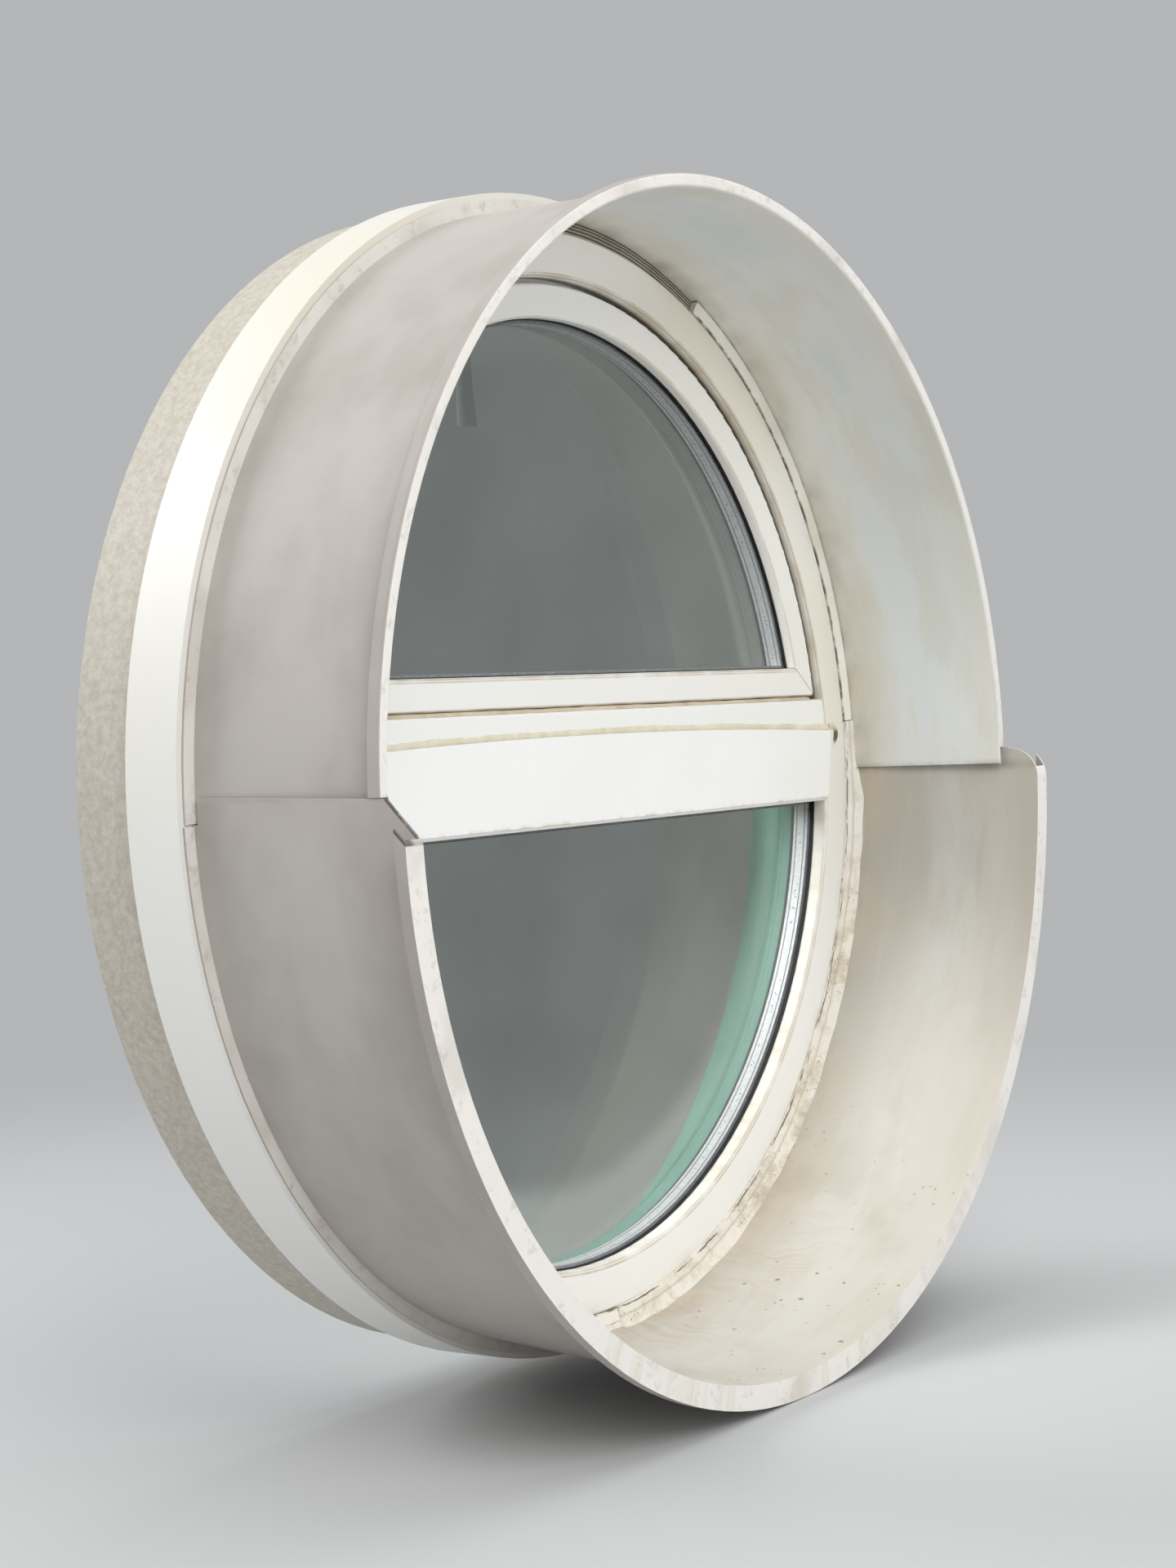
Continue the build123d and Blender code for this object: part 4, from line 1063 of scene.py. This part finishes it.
def add_lamp(name, place, target, size, power, tint=(1.0, 1.0, 1.0)):
    """Soft square lamp that lights and mirrors, but isn't seen itself; metres and watts."""
    data = bpy.data.lights.new(name, "AREA")
    data.shape = "SQUARE"
    data.size = size
    data.energy = power
    data.color = tint
    lamp = bpy.data.objects.new(name, data)
    lamp.visible_camera = False
    lamp.visible_transmission = False
    lamp.location = place
    lamp.rotation_euler = (Vector(target) - Vector(place)).to_track_quat("-Z", "Y").to_euler()
    bpy.context.scene.collection.objects.link(lamp)


def make_lamps():
    """Daylight from the left and above, a fill into the reveal, and a lamp for the room side."""
    middle = (0.0, -0.05, 0.0)
    upper_reveal = (0.05, -0.1, 0.42)
    add_lamp("key", (-2.6, -3.6, 3.2), middle, 2.6, 110.0, (1.0, 0.99, 0.97))
    add_lamp("top", (0.2, -0.8, 4.2), middle, 3.2, 70.0, (0.97, 0.99, 1.0))
    add_lamp("fill", (0.35, -2.8, -0.42), upper_reveal, 2.0, 26.0)
    add_lamp("back", (-1.7, 3.5, 2.2), middle, 2.4, 92.0)


def seen_directly(tree):
    """1 for rays that see the background straight, in a mirror or through glass."""
    path = tree.nodes.new("ShaderNodeLightPath")
    total = path.outputs["Is Camera Ray"]
    for other in ("Is Glossy Ray", "Is Transmission Ray"):
        made = tree.nodes.new("ShaderNodeMath")
        made.operation = "MAXIMUM"
        tree.links.new(total, made.inputs[0])
        tree.links.new(path.outputs[other], made.inputs[1])
        total = made.outputs[0]
    return total


def blend_shaders(tree, factor, first, second, output):
    """Mixes two shaders into a tree's output."""
    blend = tree.nodes.new("ShaderNodeMixShader")
    for socket, source in zip(blend.inputs, (factor, first.outputs[0], second.outputs[0])):
        tree.links.new(source, socket)
    tree.links.new(blend.outputs[0], tree.nodes[output].inputs["Surface"])


def make_world():
    """Soft light from all round; what is seen directly is the plain background."""
    world = bpy.data.worlds.new("studio")
    bpy.context.scene.world = world
    world.use_nodes = True
    tree = world.node_tree
    soft = tree.nodes["Background"]
    soft.inputs["Color"].default_value = SKY_TINT
    soft.inputs["Strength"].default_value = WORLD_LEVEL
    shown = tree.nodes.new("ShaderNodeBackground")
    shown.inputs["Color"].default_value = BACKGROUND
    shown.inputs["Strength"].default_value = 1.0
    blend_shaders(tree, seen_directly(tree), soft, shown, "World Output")


def floor_material():
    """Pale floor near the window, which takes the background's colour further off."""
    material = bpy.data.materials.new("floor")
    material.use_nodes = True
    tree = material.node_tree
    shader = tree.nodes["Principled BSDF"]
    shader.inputs["Base Color"].default_value = FLOOR_COLOUR
    shader.inputs["Roughness"].default_value = 0.8
    shader.inputs["Specular IOR Level"].default_value = 0.1
    coordinates = tree.nodes.new("ShaderNodeTexCoord")
    away = tree.nodes.new("ShaderNodeVectorMath")
    away.operation = "LENGTH"
    tree.links.new(coordinates.outputs["Object"], away.inputs[0])
    far = tree.nodes.new("ShaderNodeMapRange")
    far.interpolation_type = "SMOOTHSTEP"
    tree.links.new(away.outputs["Value"], far.inputs["Value"])
    far.inputs["From Min"].default_value = FLOOR_BLEND[0]
    far.inputs["From Max"].default_value = FLOOR_BLEND[1]
    factor = tree.nodes.new("ShaderNodeMath")
    factor.operation = "MULTIPLY"
    tree.links.new(far.outputs["Result"], factor.inputs[0])
    tree.links.new(seen_directly(tree), factor.inputs[1])
    glow = tree.nodes.new("ShaderNodeEmission")
    glow.inputs["Color"].default_value = BACKGROUND
    blend_shaders(tree, factor.outputs[0], shader, glow, "Material Output")
    return material


def make_floor():
    """Floor that just clears the window's lowest point."""
    bpy.ops.mesh.primitive_circle_add(vertices=FLOOR_FACETS, radius=FLOOR_RADIUS, fill_type="NGON")
    floor = bpy.context.object
    floor.name = "floor"
    floor.location = (0, 0, cad_box[0][2] - FLOOR_GAP)
    floor.data.materials.append(floor_material())


materials = make_materials()
dress(materials)
clear_panes()
make_sealant(materials["sealant_bead"])
make_strip_smear(materials["sealant_bead"])
make_caulk(materials["cover_caulk"])
# The lip's bead is dirt and painted shade: it gives the gap under the sash its beige shade line
make_lip_dirt_and_shade(caulk("lip_dirt_and_shade", tone(216, 202, 178), tone(192, 176, 150)))
make_screws("frame_screws", FRAME_SCREWS, "frame", materials["hinge_pins"])
make_screws("sash_screws", SASH_SCREWS, "sash", materials["hinge_pins"])
make_world()
make_floor()
make_lamps()
make_camera()
bpy.context.scene.view_settings.view_transform = "Standard"
